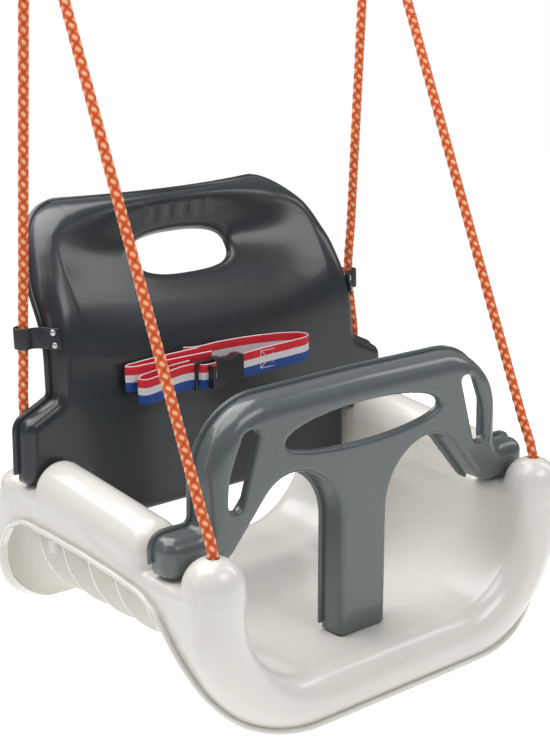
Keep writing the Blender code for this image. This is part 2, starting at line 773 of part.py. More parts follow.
def clip_path(side):
    """Plan of a rope clip: off the backrest's rounded edge, round the rope and back."""
    face_y = float(np.interp(CLIP_Z, BACK_Z, BACK_Y))
    edge = 10 + 14 * float(smooth_step((CLIP_Z - 205) / 130))
    centre = np.array((BACK_EDGE_X - edge, face_y + edge))
    reach = edge + 2.4
    points = [centre + reach * np.array((math.sin(a), -math.cos(a)))
              for a in np.radians((38, 50, 62, 75))]
    rope = np.array(CLIP_ROPE)
    wrap = ROPE_R + 3.5
    points += [rope + wrap * np.array((math.cos(a), math.sin(a)))
               for a in np.radians((-118, -90, -62, -34, -6, 22, 50, 78, 106, 134))]
    return [(side * x, y) for x, y in points]


def make_clips(parent):
    for side, word in ((-1, "left"), (1, "right")):
        band(f"{word}_rope_clip", clip_path(side), 2.0, CLIP_HEIGHT, "strap_plastic", parent,
             lambda u, v, d: (u, v + d * np.interp(abs(u), (182, 190), (0.25, 0.05)), CLIP_Z + d))
        first, second = (np.array(q) for q in clip_path(side)[1:3])
        middle = (first + second) / 2
        along = (second - first) / np.linalg.norm(second - first)
        out = np.array((along[1], -along[0])) * side
        for number, dz in enumerate((-5.5, 5.5)):
            rivet = cylinder(f"{word}_clip_rivet_{number + 1}", 2.8, 1.6, 14, "steel", parent, 1.9)
            spot = middle + out * (1.0 + 0.8 + 0.8)
            rivet.location = Vector((spot[0], spot[1] + 0.25 * dz, CLIP_Z + dz)) * MM
            rivet.rotation_euler = Vector((out[0], out[1], 0)).to_track_quat("Z", "Y").to_euler()


# ---------------------------------------------------------------- belt and buckle


def strap(name, x, y, z, parent):
    """Flat stretch of webbing between two limits on each axis."""
    size = (x[1] - x[0], y[1] - y[0], z[1] - z[0])
    made = box(name, size, "webbing", parent, 1.2)
    made.location = Vector((sum(x) / 2, sum(y) / 2, sum(z) / 2)) * MM


def make_belt(parent):
    """The folded lap belt: layers against the backrest and the two ends at the buckle."""
    face = float(np.interp(BELT_SLOT[2], BACK_Z, BACK_Y))
    strap("belt_back_layers", (-117, 98), (face - 8.2, face - 0.8), (203.5, 228), parent)
    front = (face - 16.2, face - 10.4)
    strap("belt_front_left", (-112, BUCKLE_X[0] - GAP), front, (193, 217), parent)
    strap("belt_front_right", (BUCKLE_X[2] + GAP, 104), front, (195, 219), parent)
    make_buckle(parent, face - 15.5)


def make_buckle(parent, y):
    """Side-release buckle: a socket open towards -X, and a three-pronged half that slides in."""
    start, joint, end = BUCKLE_X
    z, height, depth, wall = BUCKLE_Z, 29.0, 10.5, 2.3
    socket = box("buckle_socket", (end - joint, depth, height), "buckle_plastic", parent, 1.6)
    socket.location = Vector(((joint + end) / 2, y, z)) * MM
    hollow = box("socket_cutter", (end - joint, depth - 2 * wall, height - 2 * wall),
                 "buckle_plastic", parent)
    hollow.location = Vector(((joint + end) / 2 - 5.0, y, z)) * MM
    boolean(socket, hollow, "DIFFERENCE")
    back, tip, root = joint - GAP, joint + 26.0, joint + 7.0
    upper = [(start, 13.5, 3), (back, 13.5, 2), (back, 11, 0), (tip, 11, 2), (tip, 6.5, 2),
             (root, 6.5, 2), (root, 2, 1), (tip, 2, 1)]
    lower = [(u, -v, r) for u, v, r in reversed(upper)]
    tongue = fill_outline(round_outline(upper + lower, 2), -2.6, 2.6,
                          lambda u, v, d: (u, y + d, z + v), "buckle_tongue", "buckle_plastic", parent)
    window = box("tongue_cutter", (4.5, 30, 21), "buckle_plastic", parent)
    window.location = Vector((start + 6.0, y, z)) * MM
    boolean(tongue, window, "DIFFERENCE")


# ---------------------------------------------------------------- hangers


def arc_points(centre, radius, start, end, count):
    """Points in the YZ plane round a centre (x, y, z)."""
    angles = [math.radians(start + (end - start) * k / count) for k in range(count + 1)]
    return [(centre[0], centre[1] + radius * math.cos(a), centre[2] + radius * math.sin(a))
            for a in angles]


def make_hanger(side, word, apex_z):
    """One side's knot, ring, link, bush, bolt and bracket, from the rope upward, in world axes."""
    x = side * APEX.x
    knot_low, knot_high = apex_z - KNOT_LOW, apex_z + KNOT_HIGH
    knot = box(f"{word}_knot", (*KNOT_SIZE, knot_high - knot_low), "rope_fibre",
               round_edge=8.0)
    knot.location = Vector((x, KNOT_Y, (knot_low + knot_high) / 2)) * MM
    eye_z = knot_high + EYE_RISE
    leg = [(x, EYE_LEG, knot_high + GAP), (x, EYE_LEG, knot_high + 6)]
    eye = leg + arc_points((x, 0, eye_z), EYE_R, -20, 200, 14) + [(x, -v, w) for _, v, w in leg[::-1]]
    rod(f"{word}_rope_eye", smooth_path(eye, 9.0), ROPE_R, "rope_fibre")
    ring_z = eye_z + EYE_R - ROPE_R - RING_WIRE - GAP + RING_R
    ring = torus(f"{word}_ring", RING_R, RING_WIRE, "steel")
    ring.location = Vector((x, 0, ring_z)) * MM
    link_low = ring_z + RING_R - RING_WIRE - GAP - LINK_WIRE + LINK_R
    path = arc_points((x, 0, link_low), LINK_R, 180, 360, 10)
    path += arc_points((x, 0, link_low + LINK_STRAIGHT), LINK_R, 0, 180, 10)
    rod(f"{word}_link", path, LINK_WIRE, "steel", closed=True)
    bolt_z = link_low + LINK_STRAIGHT + LINK_R - LINK_WIRE - GAP - BUSH_R
    make_bracket(x, bolt_z, word)
    bush = tube(f"{word}_bush", BUSH_R, BOLT_R + 0.4, 2 * EAR_X - 4 - 2 * GAP, 24,
                "natural_plastic")
    bush.rotation_euler = (0, math.pi / 2, 0)
    bush.location = Vector((x, 0, bolt_z)) * MM


def make_bracket(x, bolt_z, word):
    """Plate and two ears in one piece, with a bolt and its nut through the ears."""
    top = bolt_z + BOLT_DROP
    plate_x, plate_y, plate_z = PLATE
    half, ear = EAR_X + EAR_THICK / 2, EAR_WIDTH / 2
    inner = half - EAR_THICK
    edge = [(inner, -plate_z), (inner, -EAR_LOW), (half, -EAR_LOW), (half, -plate_z),
            (plate_x / 2, -plate_z), (plate_x / 2, 0)]
    outline = [(-u, v) for u, v in edge[::-1]] + edge
    bracket = fill_outline(outline, -ear, ear, lambda u, v, d: (x + u, d, top + v),
                           f"{word}_bracket", "steel")
    hole = cylinder(f"{word}_bolt_cutter", BOLT_R + 0.5, 80, 24, "steel")
    hole.rotation_euler = (0, math.pi / 2, 0)
    hole.location = Vector((x, 0, bolt_z)) * MM
    boolean(bracket, hole, "DIFFERENCE")
    screw_x, screw_r = SCREW_HOLE
    for number, turned in enumerate((-1, 1)):
        screw_hole = cylinder(f"{word}_screw_cutter_{number}", screw_r, 20, 16, "steel")
        screw_hole.location = Vector((x + turned * screw_x, 0, top)) * MM
        boolean(bracket, screw_hole, "DIFFERENCE")
    shank = cylinder(f"{word}_bolt", BOLT_R, 2 * half + 12, 20, "steel")
    shank.rotation_euler = (0, math.pi / 2, 0)
    shank.location = Vector((x + 3, 0, bolt_z)) * MM
    head = cylinder(f"{word}_head_cutter", HEX_R, HEAD_THICK, 6, "steel")
    head.rotation_euler = (0, math.pi / 2, 0)
    head.location = Vector((x - half - GAP - HEAD_THICK / 2, 0, bolt_z)) * MM
    boolean(shank, head, "UNION")
    nut = cylinder(f"{word}_nut", HEX_R, NUT_THICK, 6, "steel")
    thread = cylinder(f"{word}_thread_cutter", BOLT_R + 0.35, 12, 20, "steel", nut)
    boolean(nut, thread, "DIFFERENCE")
    nut.rotation_euler = (0, math.pi / 2, 0)
    nut.location = Vector((x + half + GAP + NUT_THICK / 2, 0, bolt_z)) * MM


# ---------------------------------------------------------------- assembly


def build():
    clear_scene()
    seat_frame = bpy.data.objects.new("seat_frame", None)
    bpy.context.scene.collection.objects.link(seat_frame)
    apex_z = find_apex()
    turn = Matrix.Rotation(HANG_TILT, 4, "X")
    apex = Vector((0, APEX.y, APEX.z)) * MM
    seat_frame.matrix_world = (Matrix.Translation(Vector((0, 0, apex_z * MM))) @ turn
                               @ Matrix.Translation(-apex))
    make_seat(seat_frame, 16.0)
    make_bar(seat_frame, 9.0)
    make_back(seat_frame, 12.0)
    make_ropes(seat_frame)
    make_clips(seat_frame)
    make_belt(seat_frame)
    for side, word in ((-1, "left"), (1, "right")):
        make_hanger(side, word, apex_z)


def find_apex():
    """World height of the point where the ropes would meet, below the beam."""
    ring_z = KNOT_HIGH + EYE_RISE + EYE_R - ROPE_R - RING_WIRE - GAP + RING_R
    link_low = ring_z + RING_R - RING_WIRE - GAP - LINK_WIRE + LINK_R
    return -BOLT_DROP - (link_low + LINK_STRAIGHT + LINK_R - LINK_WIRE - GAP - BUSH_R)


build()
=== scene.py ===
"""Toddler bucket swing: the finished look of every piece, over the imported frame.

Lengths are in millimetres and become metres when a mesh is made. Most pieces are drawn in the
seat's own axes (X to the sitter's left, Y from front to back, Z up, origin on the seat floor
under the T-bar) and are then turned into the row frame by seat_matrix.
"""

import math

import bmesh
import bpy
import numpy as np
from mathutils import Matrix, Vector


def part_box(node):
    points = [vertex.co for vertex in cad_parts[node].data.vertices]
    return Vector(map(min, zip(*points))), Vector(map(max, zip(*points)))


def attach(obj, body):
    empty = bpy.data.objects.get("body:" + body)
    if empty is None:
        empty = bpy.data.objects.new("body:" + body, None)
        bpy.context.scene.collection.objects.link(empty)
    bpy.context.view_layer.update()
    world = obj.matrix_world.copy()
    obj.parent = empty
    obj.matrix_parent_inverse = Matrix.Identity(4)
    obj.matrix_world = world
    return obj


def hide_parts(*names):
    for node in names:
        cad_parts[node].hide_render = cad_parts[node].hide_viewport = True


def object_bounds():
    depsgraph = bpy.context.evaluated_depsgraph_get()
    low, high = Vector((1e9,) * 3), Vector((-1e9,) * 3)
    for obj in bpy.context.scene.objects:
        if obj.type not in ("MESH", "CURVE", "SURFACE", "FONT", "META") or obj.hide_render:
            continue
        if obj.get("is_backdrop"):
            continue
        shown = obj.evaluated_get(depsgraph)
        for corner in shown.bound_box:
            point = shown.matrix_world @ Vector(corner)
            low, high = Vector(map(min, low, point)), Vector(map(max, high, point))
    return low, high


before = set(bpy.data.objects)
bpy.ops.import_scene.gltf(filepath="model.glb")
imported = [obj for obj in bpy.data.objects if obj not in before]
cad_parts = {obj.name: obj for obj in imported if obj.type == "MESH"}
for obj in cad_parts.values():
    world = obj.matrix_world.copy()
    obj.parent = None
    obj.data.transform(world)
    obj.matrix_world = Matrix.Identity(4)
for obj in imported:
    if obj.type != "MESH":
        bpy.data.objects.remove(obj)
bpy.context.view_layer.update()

MM = 0.001

# ---- the part's own dimensions ----
SEAT_HALF = 165.0
SEAT_BEND = 80.0
ROLL = 26.0
SEAT_WALL = 2.8
FRONT_AXIS_Y = -25.5
REAR_AXIS_Y = 262.0
POST_AXIS_Z = 103.0
CORNER_AXIS_Z = 108.0
ARM_START_Y = 58.0
ARM_BACK_Y = 196.5
ARM_AXIS_Z = 112.0
ARM_RISE = 0.105
SADDLE_Z = 101.0
LEDGE_Z = 128.0
REAR_LEAN = 18.0
SADDLE_ROUND = 8.0
RIM_WIDTH = 3.5
BEAD_R = 2.0
ROPE_SKIN_R = 4.6  # the braid's outer radius, with its crowns standing a little proud
ROPE_X = 191.0
ROPE_R = 4.0
ROPE_HOLE_R = 5.6
LEDGE_HOLE = (198.0, 231.0)
PEG = (191.0, 208.0)
PEG_R = 5.5
REAR_END_Z = 121.0  # lower end of the rear rope
FRONT_STOPPER_Z = 84.7
PEG_Z = (62.0, 128.4)
RIB_PITCH = 40.0
RIB_FIRST_Y = 32.0
RIB_COUNT = 6
RIB_THICK = 2.4
RIB_OUTER = (192.0, -9.0, 90.0)  # half width, lowest point, corner radius
# height of the open underside's edge along the seat: the arch under each arm
ARCH = [(-60, -36), (-48, -36), (-38, -18), (-30, 4), (-18, 28), (0, 58), (14, 76), (34, 86),
        (70, 92), (120, 96), (180, 98), (214, 97), (238, 86), (254, 64), (266, 34), (276, 8),
        (286, -16), (300, -20)]

BAR_FRONT_Y = 1.0
BAR_DEPTH = 25.0
BAR_WALL = 2.5
BAR_EDGE = 15.0
BAR_TOP_EDGE = 18.0  # the top roll is wider than the other edges
BAR_ARCH_EDGE = 6.0
BAR_SLOT_EDGE = 3.4
BAR_FOOT_Z = 0.6
BAR_SLOT_WALL = 7.0
# outlines are (x, z, corner radius); the lens is half length, rise, drop and height
BAR_HALF = [(0, 237, 0), (171, 235, 64), (173, 136, 9), (213, 136, 12), (213, -60, 0), (0, -60, 0)]
BAR_ARCH = [(27.5, -90, 0), (27.5, 166, 56), (100, 166, 40), (153, 104.5, 26), (300, 104.5, 0),
            (300, -90, 0)]
BAR_SIDE_SLOT = [(118.5, 214.5, 5), (136, 213, 9), (151.5, 176, 60), (152.5, 147.5, 6.5),
                 (139, 147.5, 6)]
BAR_LENS = (92.0, 20.0, 16.0, 194.0)

BACK_FACE_Y = 200.0
BACK_FOOT_Z = 113.0
WING_FOOT_Z = 131.0
BACK_DISH = (30.0, 310.0, 34.0, 150.0)  # depth, height of its middle, spread, half width
BACK_SWEEP = (-9.0, 20.0, 120.0, 340.0, 32.0)  # middle, ends, reach, start height, rise
BACK_LEAN = 0.05
BACK_RECLINE = 0.60
BEND_LOW_Z = 225.0
BEND_HIGH_Z = 305.0
BACK_DEPTH = 18.0
BACK_WALL = 3.4
BACK_HALF = [(0, 372, 0), (158, 372, 62), (178, 306, 60), (179, 203, 8), (215.5, 185.5, 12),
             (218, 131, 5), (161, 131, 5), (161, 79, 14), (0, 79, 0)]
HAND_SLOT = (58.0, 19.5, 309.0, 2.6)  # half width, half height, height, power
HAND_SLOT_WALL = 9.0
GRIP_X = (-37.0, -18.5, 0.0, 18.5, 37.0)
GRIP_Z = 346.0
GRIP_HALF_X, GRIP_HALF_Z, GRIP_RISE = 5.2, 7.5, 1.0
BELT_SLOT_X = 42.0
BELT_SLOT = (2.6, 14.5, 216.0)  # half width, half height, height
BUCKLE_X = (-43.0, -22.0, 13.0)  # tongue's end, joint, socket's end
BUCKLE_Z = 203.0

HANG_TILT = math.radians(7.25)
APEX = Vector((192.0, 210.0, 668.0))
CLIP_Z = 257.0
CLIP_ROPE = (196.5, 236.6)
CLIP_HEIGHT = 19.0
KNOT_LOW = 36.0
KNOT_HIGH = 4.0
KNOT_HALF = (7.2, 12.2)  # the winding's half width and half depth, to the middle of its rope
EYE_R = 20.0
EYE_LEG = 9.0
EYE_RISE = 30.0
EAR_X = 17.0
BOLT_R = 4.0

CELL = 3.2  # size of the shells' faces

# ---- the studio, in the row frame: metres and watts ----
CAMERA_YAW, CAMERA_PITCH = math.radians(40.46), math.radians(15.52)
CAMERA_PLACE = (-0.902, -0.934, 0.601)  # in the seat's axes
FLOOR_DROP = 0.16
LIT_POINT = (0, 0, -0.62)
SOFTBOXES = (
    ("top_box", (-0.3, 0.35, 0.9), (2.0, 1.7), 42),
    ("left_box", (-1.9, 0.3, 0.1), (0.3, 1.5), 2.2),
    ("right_box", (1.8, -0.6, 0.6), (0.5, 1.2), 6),
    ("front_box", (0.5, -2.1, 1.1), (1.6, 0.9), 19),
)

apex_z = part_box("left_knot")[1].z / MM - KNOT_HIGH
seat_matrix = (Matrix.Translation(Vector((0, 0, apex_z * MM))) @ Matrix.Rotation(HANG_TILT, 4, "X")
               @ Matrix.Translation(Vector((0, -APEX.y, -APEX.z)) * MM))
SIDES = ((-1, "left"), (1, "right"))


def to_row(points):
    """Seat axes in millimetres to the row frame in metres."""
    matrix = np.array(seat_matrix)
    return np.asarray(points, float) * MM @ matrix[:3, :3].T + matrix[:3, 3]


# ---------------------------------------------------------------- materials


class Nodes:
    """Short way to wire a material."""

    def __init__(self, name):
        self.material = bpy.data.materials.new(name)
        self.material.use_nodes = True
        self.tree = self.material.node_tree
        self.shader = self.tree.nodes["Principled BSDF"]
        self.place = self.add("ShaderNodeTexCoord").outputs["Object"]

    def add(self, kind, **values):
        node = self.tree.nodes.new(kind)
        for key, value in values.items():
            if hasattr(node, key):
                setattr(node, key, value)
            else:
                node.inputs[key.replace("_", " ")].default_value = value
        return node

    def link(self, source, target):
        self.tree.links.new(source, target)

    def noise(self, scale, detail=3.0):
        node = self.add("ShaderNodeTexNoise", Scale=scale, Detail=detail)
        self.link(self.place, node.inputs["Vector"])
        return node.outputs["Fac"]

    def ramp(self, value, low, high, start=0.3, end=0.7):
        """A number or colour that runs from low to high as value runs from start to end."""
        node = self.add("ShaderNodeMapRange")
        self.link(value, node.inputs["Value"])
        for key, number in (("From Min", start), ("From Max", end), ("To Min", low), ("To Max", high)):
            node.inputs[key].default_value = number
        return node.outputs["Result"]

    def mix(self, factor, first, second):
        node = self.add("ShaderNodeMix", data_type="RGBA")
        self.feed(factor, node.inputs["Factor"])
        self.feed(first, node.inputs[6])
        self.feed(second, node.inputs[7])
        return node.outputs[2]

    def feed(self, value, target):
        if isinstance(value, bpy.types.NodeSocket):
            self.link(value, target)
        elif isinstance(value, (tuple, list)):
            target.default_value = (*value, 1.0)
        else:
            target.default_value = value

    def math(self, operation, first, second=0.0):
        node = self.add("ShaderNodeMath", operation=operation)
        self.feed(first, node.inputs[0])
        self.feed(second, node.inputs[1])
        return node.outputs[0]

    def bump(self, height, distance, strength=1.0, normal=None):
        node = self.add("ShaderNodeBump", Strength=strength, Distance=distance)
        self.link(height, node.inputs["Height"])
        if normal:
            self.link(normal, node.inputs["Normal"])
        return node.outputs["Normal"]

    def set(self, **values):
        for key, value in values.items():
            self.feed(value, self.shader.inputs[key.replace("_", " ")])
        return self


def moulded(name, colour, shade, roughness, coat=0.25, grain=0.000005):
    """Injection-moulded plastic: faint flow clouds, fine grain and slightly uneven gloss."""
    made = Nodes(name)
    cloud = made.noise(7.0, 2.0)
    grit = made.noise(900.0, 2.0)
    made.set(Base_Color=made.mix(made.ramp(cloud, 0.0, 1.0), colour, shade),
             Roughness=made.ramp(made.noise(14.0), roughness * 0.96, roughness * 1.05),
             Coat_Weight=coat, Coat_Roughness=0.12)
    made.set(Normal=made.bump(grit, grain, 0.35))
    return made


def seat_plastic():
    """Off-white gloss plastic with faint sink lines over the floor's ribs."""
    made = moulded("seat_plastic", (0.80, 0.775, 0.72), (0.81, 0.79, 0.74), 0.24, 0.4)
    across = made.add("ShaderNodeAttribute", attribute_name="rib_phase")
    line = made.math("POWER", made.math("ABSOLUTE", made.math("COSINE", across.outputs["Fac"])), 60.0)
    old = made.shader.inputs["Normal"].links[0].from_socket
    made.set(Normal=made.bump(made.math("MULTIPLY", line, -1.0), 0.00025, 0.5, old))
    made.set(Subsurface_Weight=0.08, Subsurface_Scale=0.004)
    made.shader.inputs["Subsurface Radius"].default_value = (1.0, 0.85, 0.6)
    return made.material


def rope_fibre():
    """Braided polypropylene: orange fibre with painted shade in the gaps between strands, a painted
    highlight on the strand crowns and fine lengthwise fibres.
    """
    made = Nodes("rope_fibre")
    crown = made.add("ShaderNodeAttribute", attribute_name="crown").outputs["Fac"]
    strand = made.add("ShaderNodeAttribute", attribute_name="fibre").outputs["Fac"]
    speck = made.noise(1500.0, 2.0)
    # painted shade: the colour runs from deep red in the gaps between strands to orange on the crowns,
    # following the crown height
    painted_gap_shade = made.mix(made.ramp(crown, 0.0, 1.0, 0.1, 0.75), (0.60, 0.042, 0.005), (1.0, 0.20, 0.028))
    # painted highlight: the highest strand crowns are turned pale peach
    pale = made.mix(made.ramp(crown, 0.0, 1.0, 0.62, 0.95), painted_gap_shade, (1.0, 0.66, 0.38))
    made.set(Base_Color=made.mix(made.ramp(speck, 0.0, 0.2), pale, (0.95, 0.24, 0.06)),
             Roughness=0.42, Sheen_Weight=0.25, Sheen_Roughness=0.4, Anisotropic=0.4)
    fine = made.math("SINE", made.math("MULTIPLY", strand, 60.0))
    made.set(Normal=made.bump(fine, 0.00012, 0.5, made.bump(speck, 0.0001, 0.4)))
    return made.material


def webbing():
    """Flat woven tape: red, white and blue bands, pale selvedges and a ribbed weave with painted shade in
    its grooves.
    """
    made = Nodes("webbing")
    uv = made.add("ShaderNodeUVMap", uv_map="tape").outputs["UV"]
    parts = made.add("ShaderNodeSeparateXYZ")
    made.link(uv, parts.inputs["Vector"])
    along, across = parts.outputs["X"], parts.outputs["Y"]
    wobble = made.math("MULTIPLY", made.math("SUBTRACT", made.noise(900.0), 0.5), 0.02)
    place = made.math("ADD", across, wobble)
    colour = made.mix(made.math("GREATER_THAN", place, 0.385), (0.010, 0.075, 0.36), (0.92, 0.88, 0.92))
    colour = made.mix(made.math("GREATER_THAN", place, 0.665), colour, (0.85, 0.012, 0.035))
    edge = made.math("GREATER_THAN", made.math("ABSOLUTE", made.math("SUBTRACT", across, 0.5)), 0.475)
    top = made.math("MULTIPLY", edge, made.math("GREATER_THAN", across, 0.5))
    colour = made.mix(top, colour, (0.90, 0.88, 0.88))
    rib = made.math("SINE", made.math("MULTIPLY", along, 2 * math.pi / 1.1))
    warp = made.math("SINE", made.math("MULTIPLY", across, 2 * math.pi * 20))
    weave = made.math("MULTIPLY", rib, warp)
    # painted shade: the colour is darkened where the weave's bump is low, in its grooves
    shade = made.ramp(weave, 0.80, 1.0, -1.0, 1.0)
    dark = made.add("ShaderNodeMix", data_type="RGBA", blend_type="MULTIPLY")
    dark.inputs["Factor"].default_value = 1.0
    made.link(colour, dark.inputs[6])
    made.link(shade, dark.inputs[7])
    made.set(Base_Color=dark.outputs[2], Roughness=0.7, Sheen_Weight=0.06, Sheen_Roughness=0.5)
    made.set(Normal=made.bump(weave, 0.00018, 0.7))
    return made.material


def zinc_steel():
    """Zinc-plated steel: cool grey with faint crystalline clouds and light brushing."""
    made = Nodes("steel")
    cloud = made.noise(180.0, 4.0)
    made.set(Base_Color=made.mix(made.ramp(cloud, 0.0, 1.0), (0.50, 0.51, 0.52), (0.70, 0.70, 0.69)),
             Metallic=1.0, Roughness=made.ramp(made.noise(420.0), 0.24, 0.42))
    made.set(Normal=made.bump(made.noise(1300.0, 2.0), 0.00004, 0.5))
    return made.material


def thread():
    """White sewing thread with a twist."""
    made = Nodes("thread")
    made.set(Base_Color=made.mix(made.ramp(made.noise(2500.0), 0.0, 1.0), (0.86, 0.80, 0.80),
                                 (0.95, 0.93, 0.92)), Roughness=0.6, Sheen_Weight=0.3)
    made.set(Normal=made.bump(made.noise(3000.0), 0.0001, 0.5))
    return made.material


FINISH = {
    "seat_plastic": seat_plastic(),
    "bar_plastic": moulded("bar_plastic", (0.098, 0.120, 0.123), (0.106, 0.130, 0.133), 0.27,
                           0.4).material,
    "back_plastic": moulded("back_plastic", (0.026, 0.031, 0.036), (0.030, 0.035, 0.041), 0.29,
                            0.2).material,
    "strap_plastic": moulded("strap_plastic", (0.022, 0.026, 0.032), (0.028, 0.032, 0.038), 0.42,
                             0.0, 0.00006).material,
    "natural_plastic": moulded("natural_plastic", (0.78, 0.80, 0.77), (0.84, 0.85, 0.83), 0.35).material,
    "buckle_plastic": moulded("buckle_plastic", (0.012, 0.012, 0.014), (0.018, 0.018, 0.02), 0.33,
                              0.1, 0.00005).material,
    "rope_fibre": rope_fibre(),
    "webbing": webbing(),
    "steel": zinc_steel(),
}
THREAD = thread()


# ---------------------------------------------------------------- making objects


def finish_piece(obj, finish, body, *nodes):
    obj.data.materials.clear()
    obj.data.materials.append(FINISH[finish])
    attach(obj, body)
    if nodes:
        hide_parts(*nodes)
    return obj


def placed(name, data):
    """New object in the scene."""
    obj = bpy.data.objects.new(name, data)
    bpy.context.scene.collection.objects.link(obj)
    return obj


def solid_object(name, bm):
    """New object from a bmesh, which is freed."""
    mesh = bpy.data.meshes.new(name)
    bm.to_mesh(mesh)
    bm.free()
    return placed(name, mesh)


def mesh_object(name, points, faces, sharp=40):
    """Object from points in the row frame, in metres."""
    mesh = bpy.data.meshes.new(name)
    mesh.from_pydata([tuple(p) for p in points], [], [tuple(int(i) for i in f) for f in faces])
    mesh.shade_smooth()
    if sharp:
        mesh.set_sharp_from_angle(angle=math.radians(sharp))
    return placed(name, mesh)


def tube_faces(rings, around, closed=False):
    """Faces of a tube of rings with equally many points; an open tube gets a face at each end."""
    faces = []
    for i in range(rings if closed else rings - 1):
        low, high = i * around, (i + 1) % rings * around
        for j in range(around):
            n = (j + 1) % around
            faces.append((low + j, low + n, high + n, high + j))
    if not closed:
        faces += [tuple(range(around))[::-1], tuple((rings - 1) * around + k for k in range(around))]
    return faces


def face_outward(obj):
    bm = bmesh.new()
    bm.from_mesh(obj.data)
    bmesh.ops.recalc_face_normals(bm, faces=bm.faces)
    bm.to_mesh(obj.data)
    bm.free()
    return obj


def apply_modifiers(obj):
    graph = bpy.context.evaluated_depsgraph_get()
    mesh = bpy.data.meshes.new_from_object(obj.evaluated_get(graph))
    obj.modifiers.clear()
    obj.data = mesh
    return obj


def bevel(obj, width, segments=2, angle=50):
    step = obj.modifiers.new("edge", "BEVEL")
    step.width = width * MM
    step.segments = segments
    step.limit_method = "ANGLE"
    step.angle_limit = math.radians(angle)
    step.harden_normals = False
    return obj


def solidify(obj, thickness):
    wall = obj.modifiers.new("wall", "SOLIDIFY")
    wall.thickness = thickness * MM
    wall.offset = -1.0
    wall.use_even_offset = True
    wall.use_quality_normals = True


def cut(obj, cutter):
    step = obj.modifiers.new("cut", "BOOLEAN")
    step.operation = "DIFFERENCE"
    step.solver = "EXACT"
    step.object = cutter
    apply_modifiers(obj)
    bpy.data.objects.remove(cutter, do_unlink=True)


def closed_bar(name, path, radii, around):
    """Round bar along a closed path; radii is one number or one for each point."""
    path = np.asarray(path, float)
    count = len(path)
    radii = np.broadcast_to(np.asarray(radii, float), (count,))
    ahead = np.roll(path, -1, axis=0) - np.roll(path, 1, axis=0)
    ahead /= np.linalg.norm(ahead, axis=1)[:, None]
    side, over = carried_axes(ahead, (0, 0, 1))
    angles = np.linspace(0, 2 * math.pi, around, endpoint=False)
    spoke = side[:, None] * np.cos(angles)[None, :, None] + over[:, None] * np.sin(angles)[None, :, None]
    points = (path[:, None] + spoke * radii[:, None, None]).reshape(-1, 3)
    return mesh_object(name, points * MM, tube_faces(count, around, True))


def carried_axes(ahead, start):
    """Two axes across a path, carried along it without twisting."""
    side = np.cross(ahead[0], start)
    if np.linalg.norm(side) < 0.1:
        side = np.cross(ahead[0], (0, 1, 0))
    sides = []
    for direction in ahead:
        side = side - direction * (side @ direction)
        side /= np.linalg.norm(side)
        sides.append(side)
    sides = np.array(sides)
    return sides, np.cross(ahead, sides)


def smooth_path(points, spacing):
    """Evenly spaced points on a smooth curve through the given ones."""
    points = np.array(points, float)
    length = np.concatenate([[0], np.cumsum(np.linalg.norm(np.diff(points, axis=0), axis=1))])
    slopes = np.gradient(points, length, axis=0)
    fine = np.linspace(0, length[-1], 4000)
    k = np.clip(np.searchsorted(length, fine) - 1, 0, len(points) - 2)
    h = (length[k + 1] - length[k])[:, None]
    t = (fine - length[k])[:, None] / h
    curve = ((1 + 2 * t) * (1 - t) ** 2 * points[k] + t * (1 - t) ** 2 * h * slopes[k]
             + t * t * (3 - 2 * t) * points[k + 1] + t * t * (t - 1) * h * slopes[k + 1])
    walked = np.concatenate([[0], np.cumsum(np.linalg.norm(np.diff(curve, axis=0), axis=1))])
    count = int(round(walked[-1] / spacing)) + 1
    even = np.linspace(0, walked[-1], count)
    return np.stack([np.interp(even, walked, curve[:, a]) for a in range(curve.shape[1])], axis=1)


def arc_points(centre, radius, start, end, count):
    """Points in the YZ plane round a centre (x, y, z)."""
    angles = [math.radians(start + (end - start) * k / count) for k in range(count + 1)]
    return [(centre[0], centre[1] + radius * math.cos(a), centre[2] + radius * math.sin(a))
            for a in angles]


# ---------------------------------------------------------------- camera and lights


def make_camera():
    """The viewpoint, stated in the seat's axes."""
    yaw, pitch = CAMERA_YAW, CAMERA_PITCH
    ahead = Vector((math.sin(yaw) * math.cos(pitch), math.cos(yaw) * math.cos(pitch), -math.sin(pitch)))
    right = Vector((math.cos(yaw), -math.sin(yaw), 0))
    over = right.cross(ahead)
    turn = Matrix((right, over, -ahead)).transposed().to_4x4()
    data = bpy.data.cameras.new("camera")
    data.sensor_width = 36.0
    data.lens = 76.3
    camera = placed("camera", data)
    camera.matrix_world = seat_matrix @ Matrix.Translation(CAMERA_PLACE) @ turn
    bpy.context.scene.camera = camera


def softbox(name, place, target, size, power):
    data = bpy.data.lights.new(name, "AREA")
    data.shape = "RECTANGLE"
    data.size, data.size_y = size
    data.energy = power
    light = placed(name, data)
    light.location = place
    light.rotation_euler = (Vector(target) - Vector(place)).to_track_quat("-Z", "Y").to_euler()


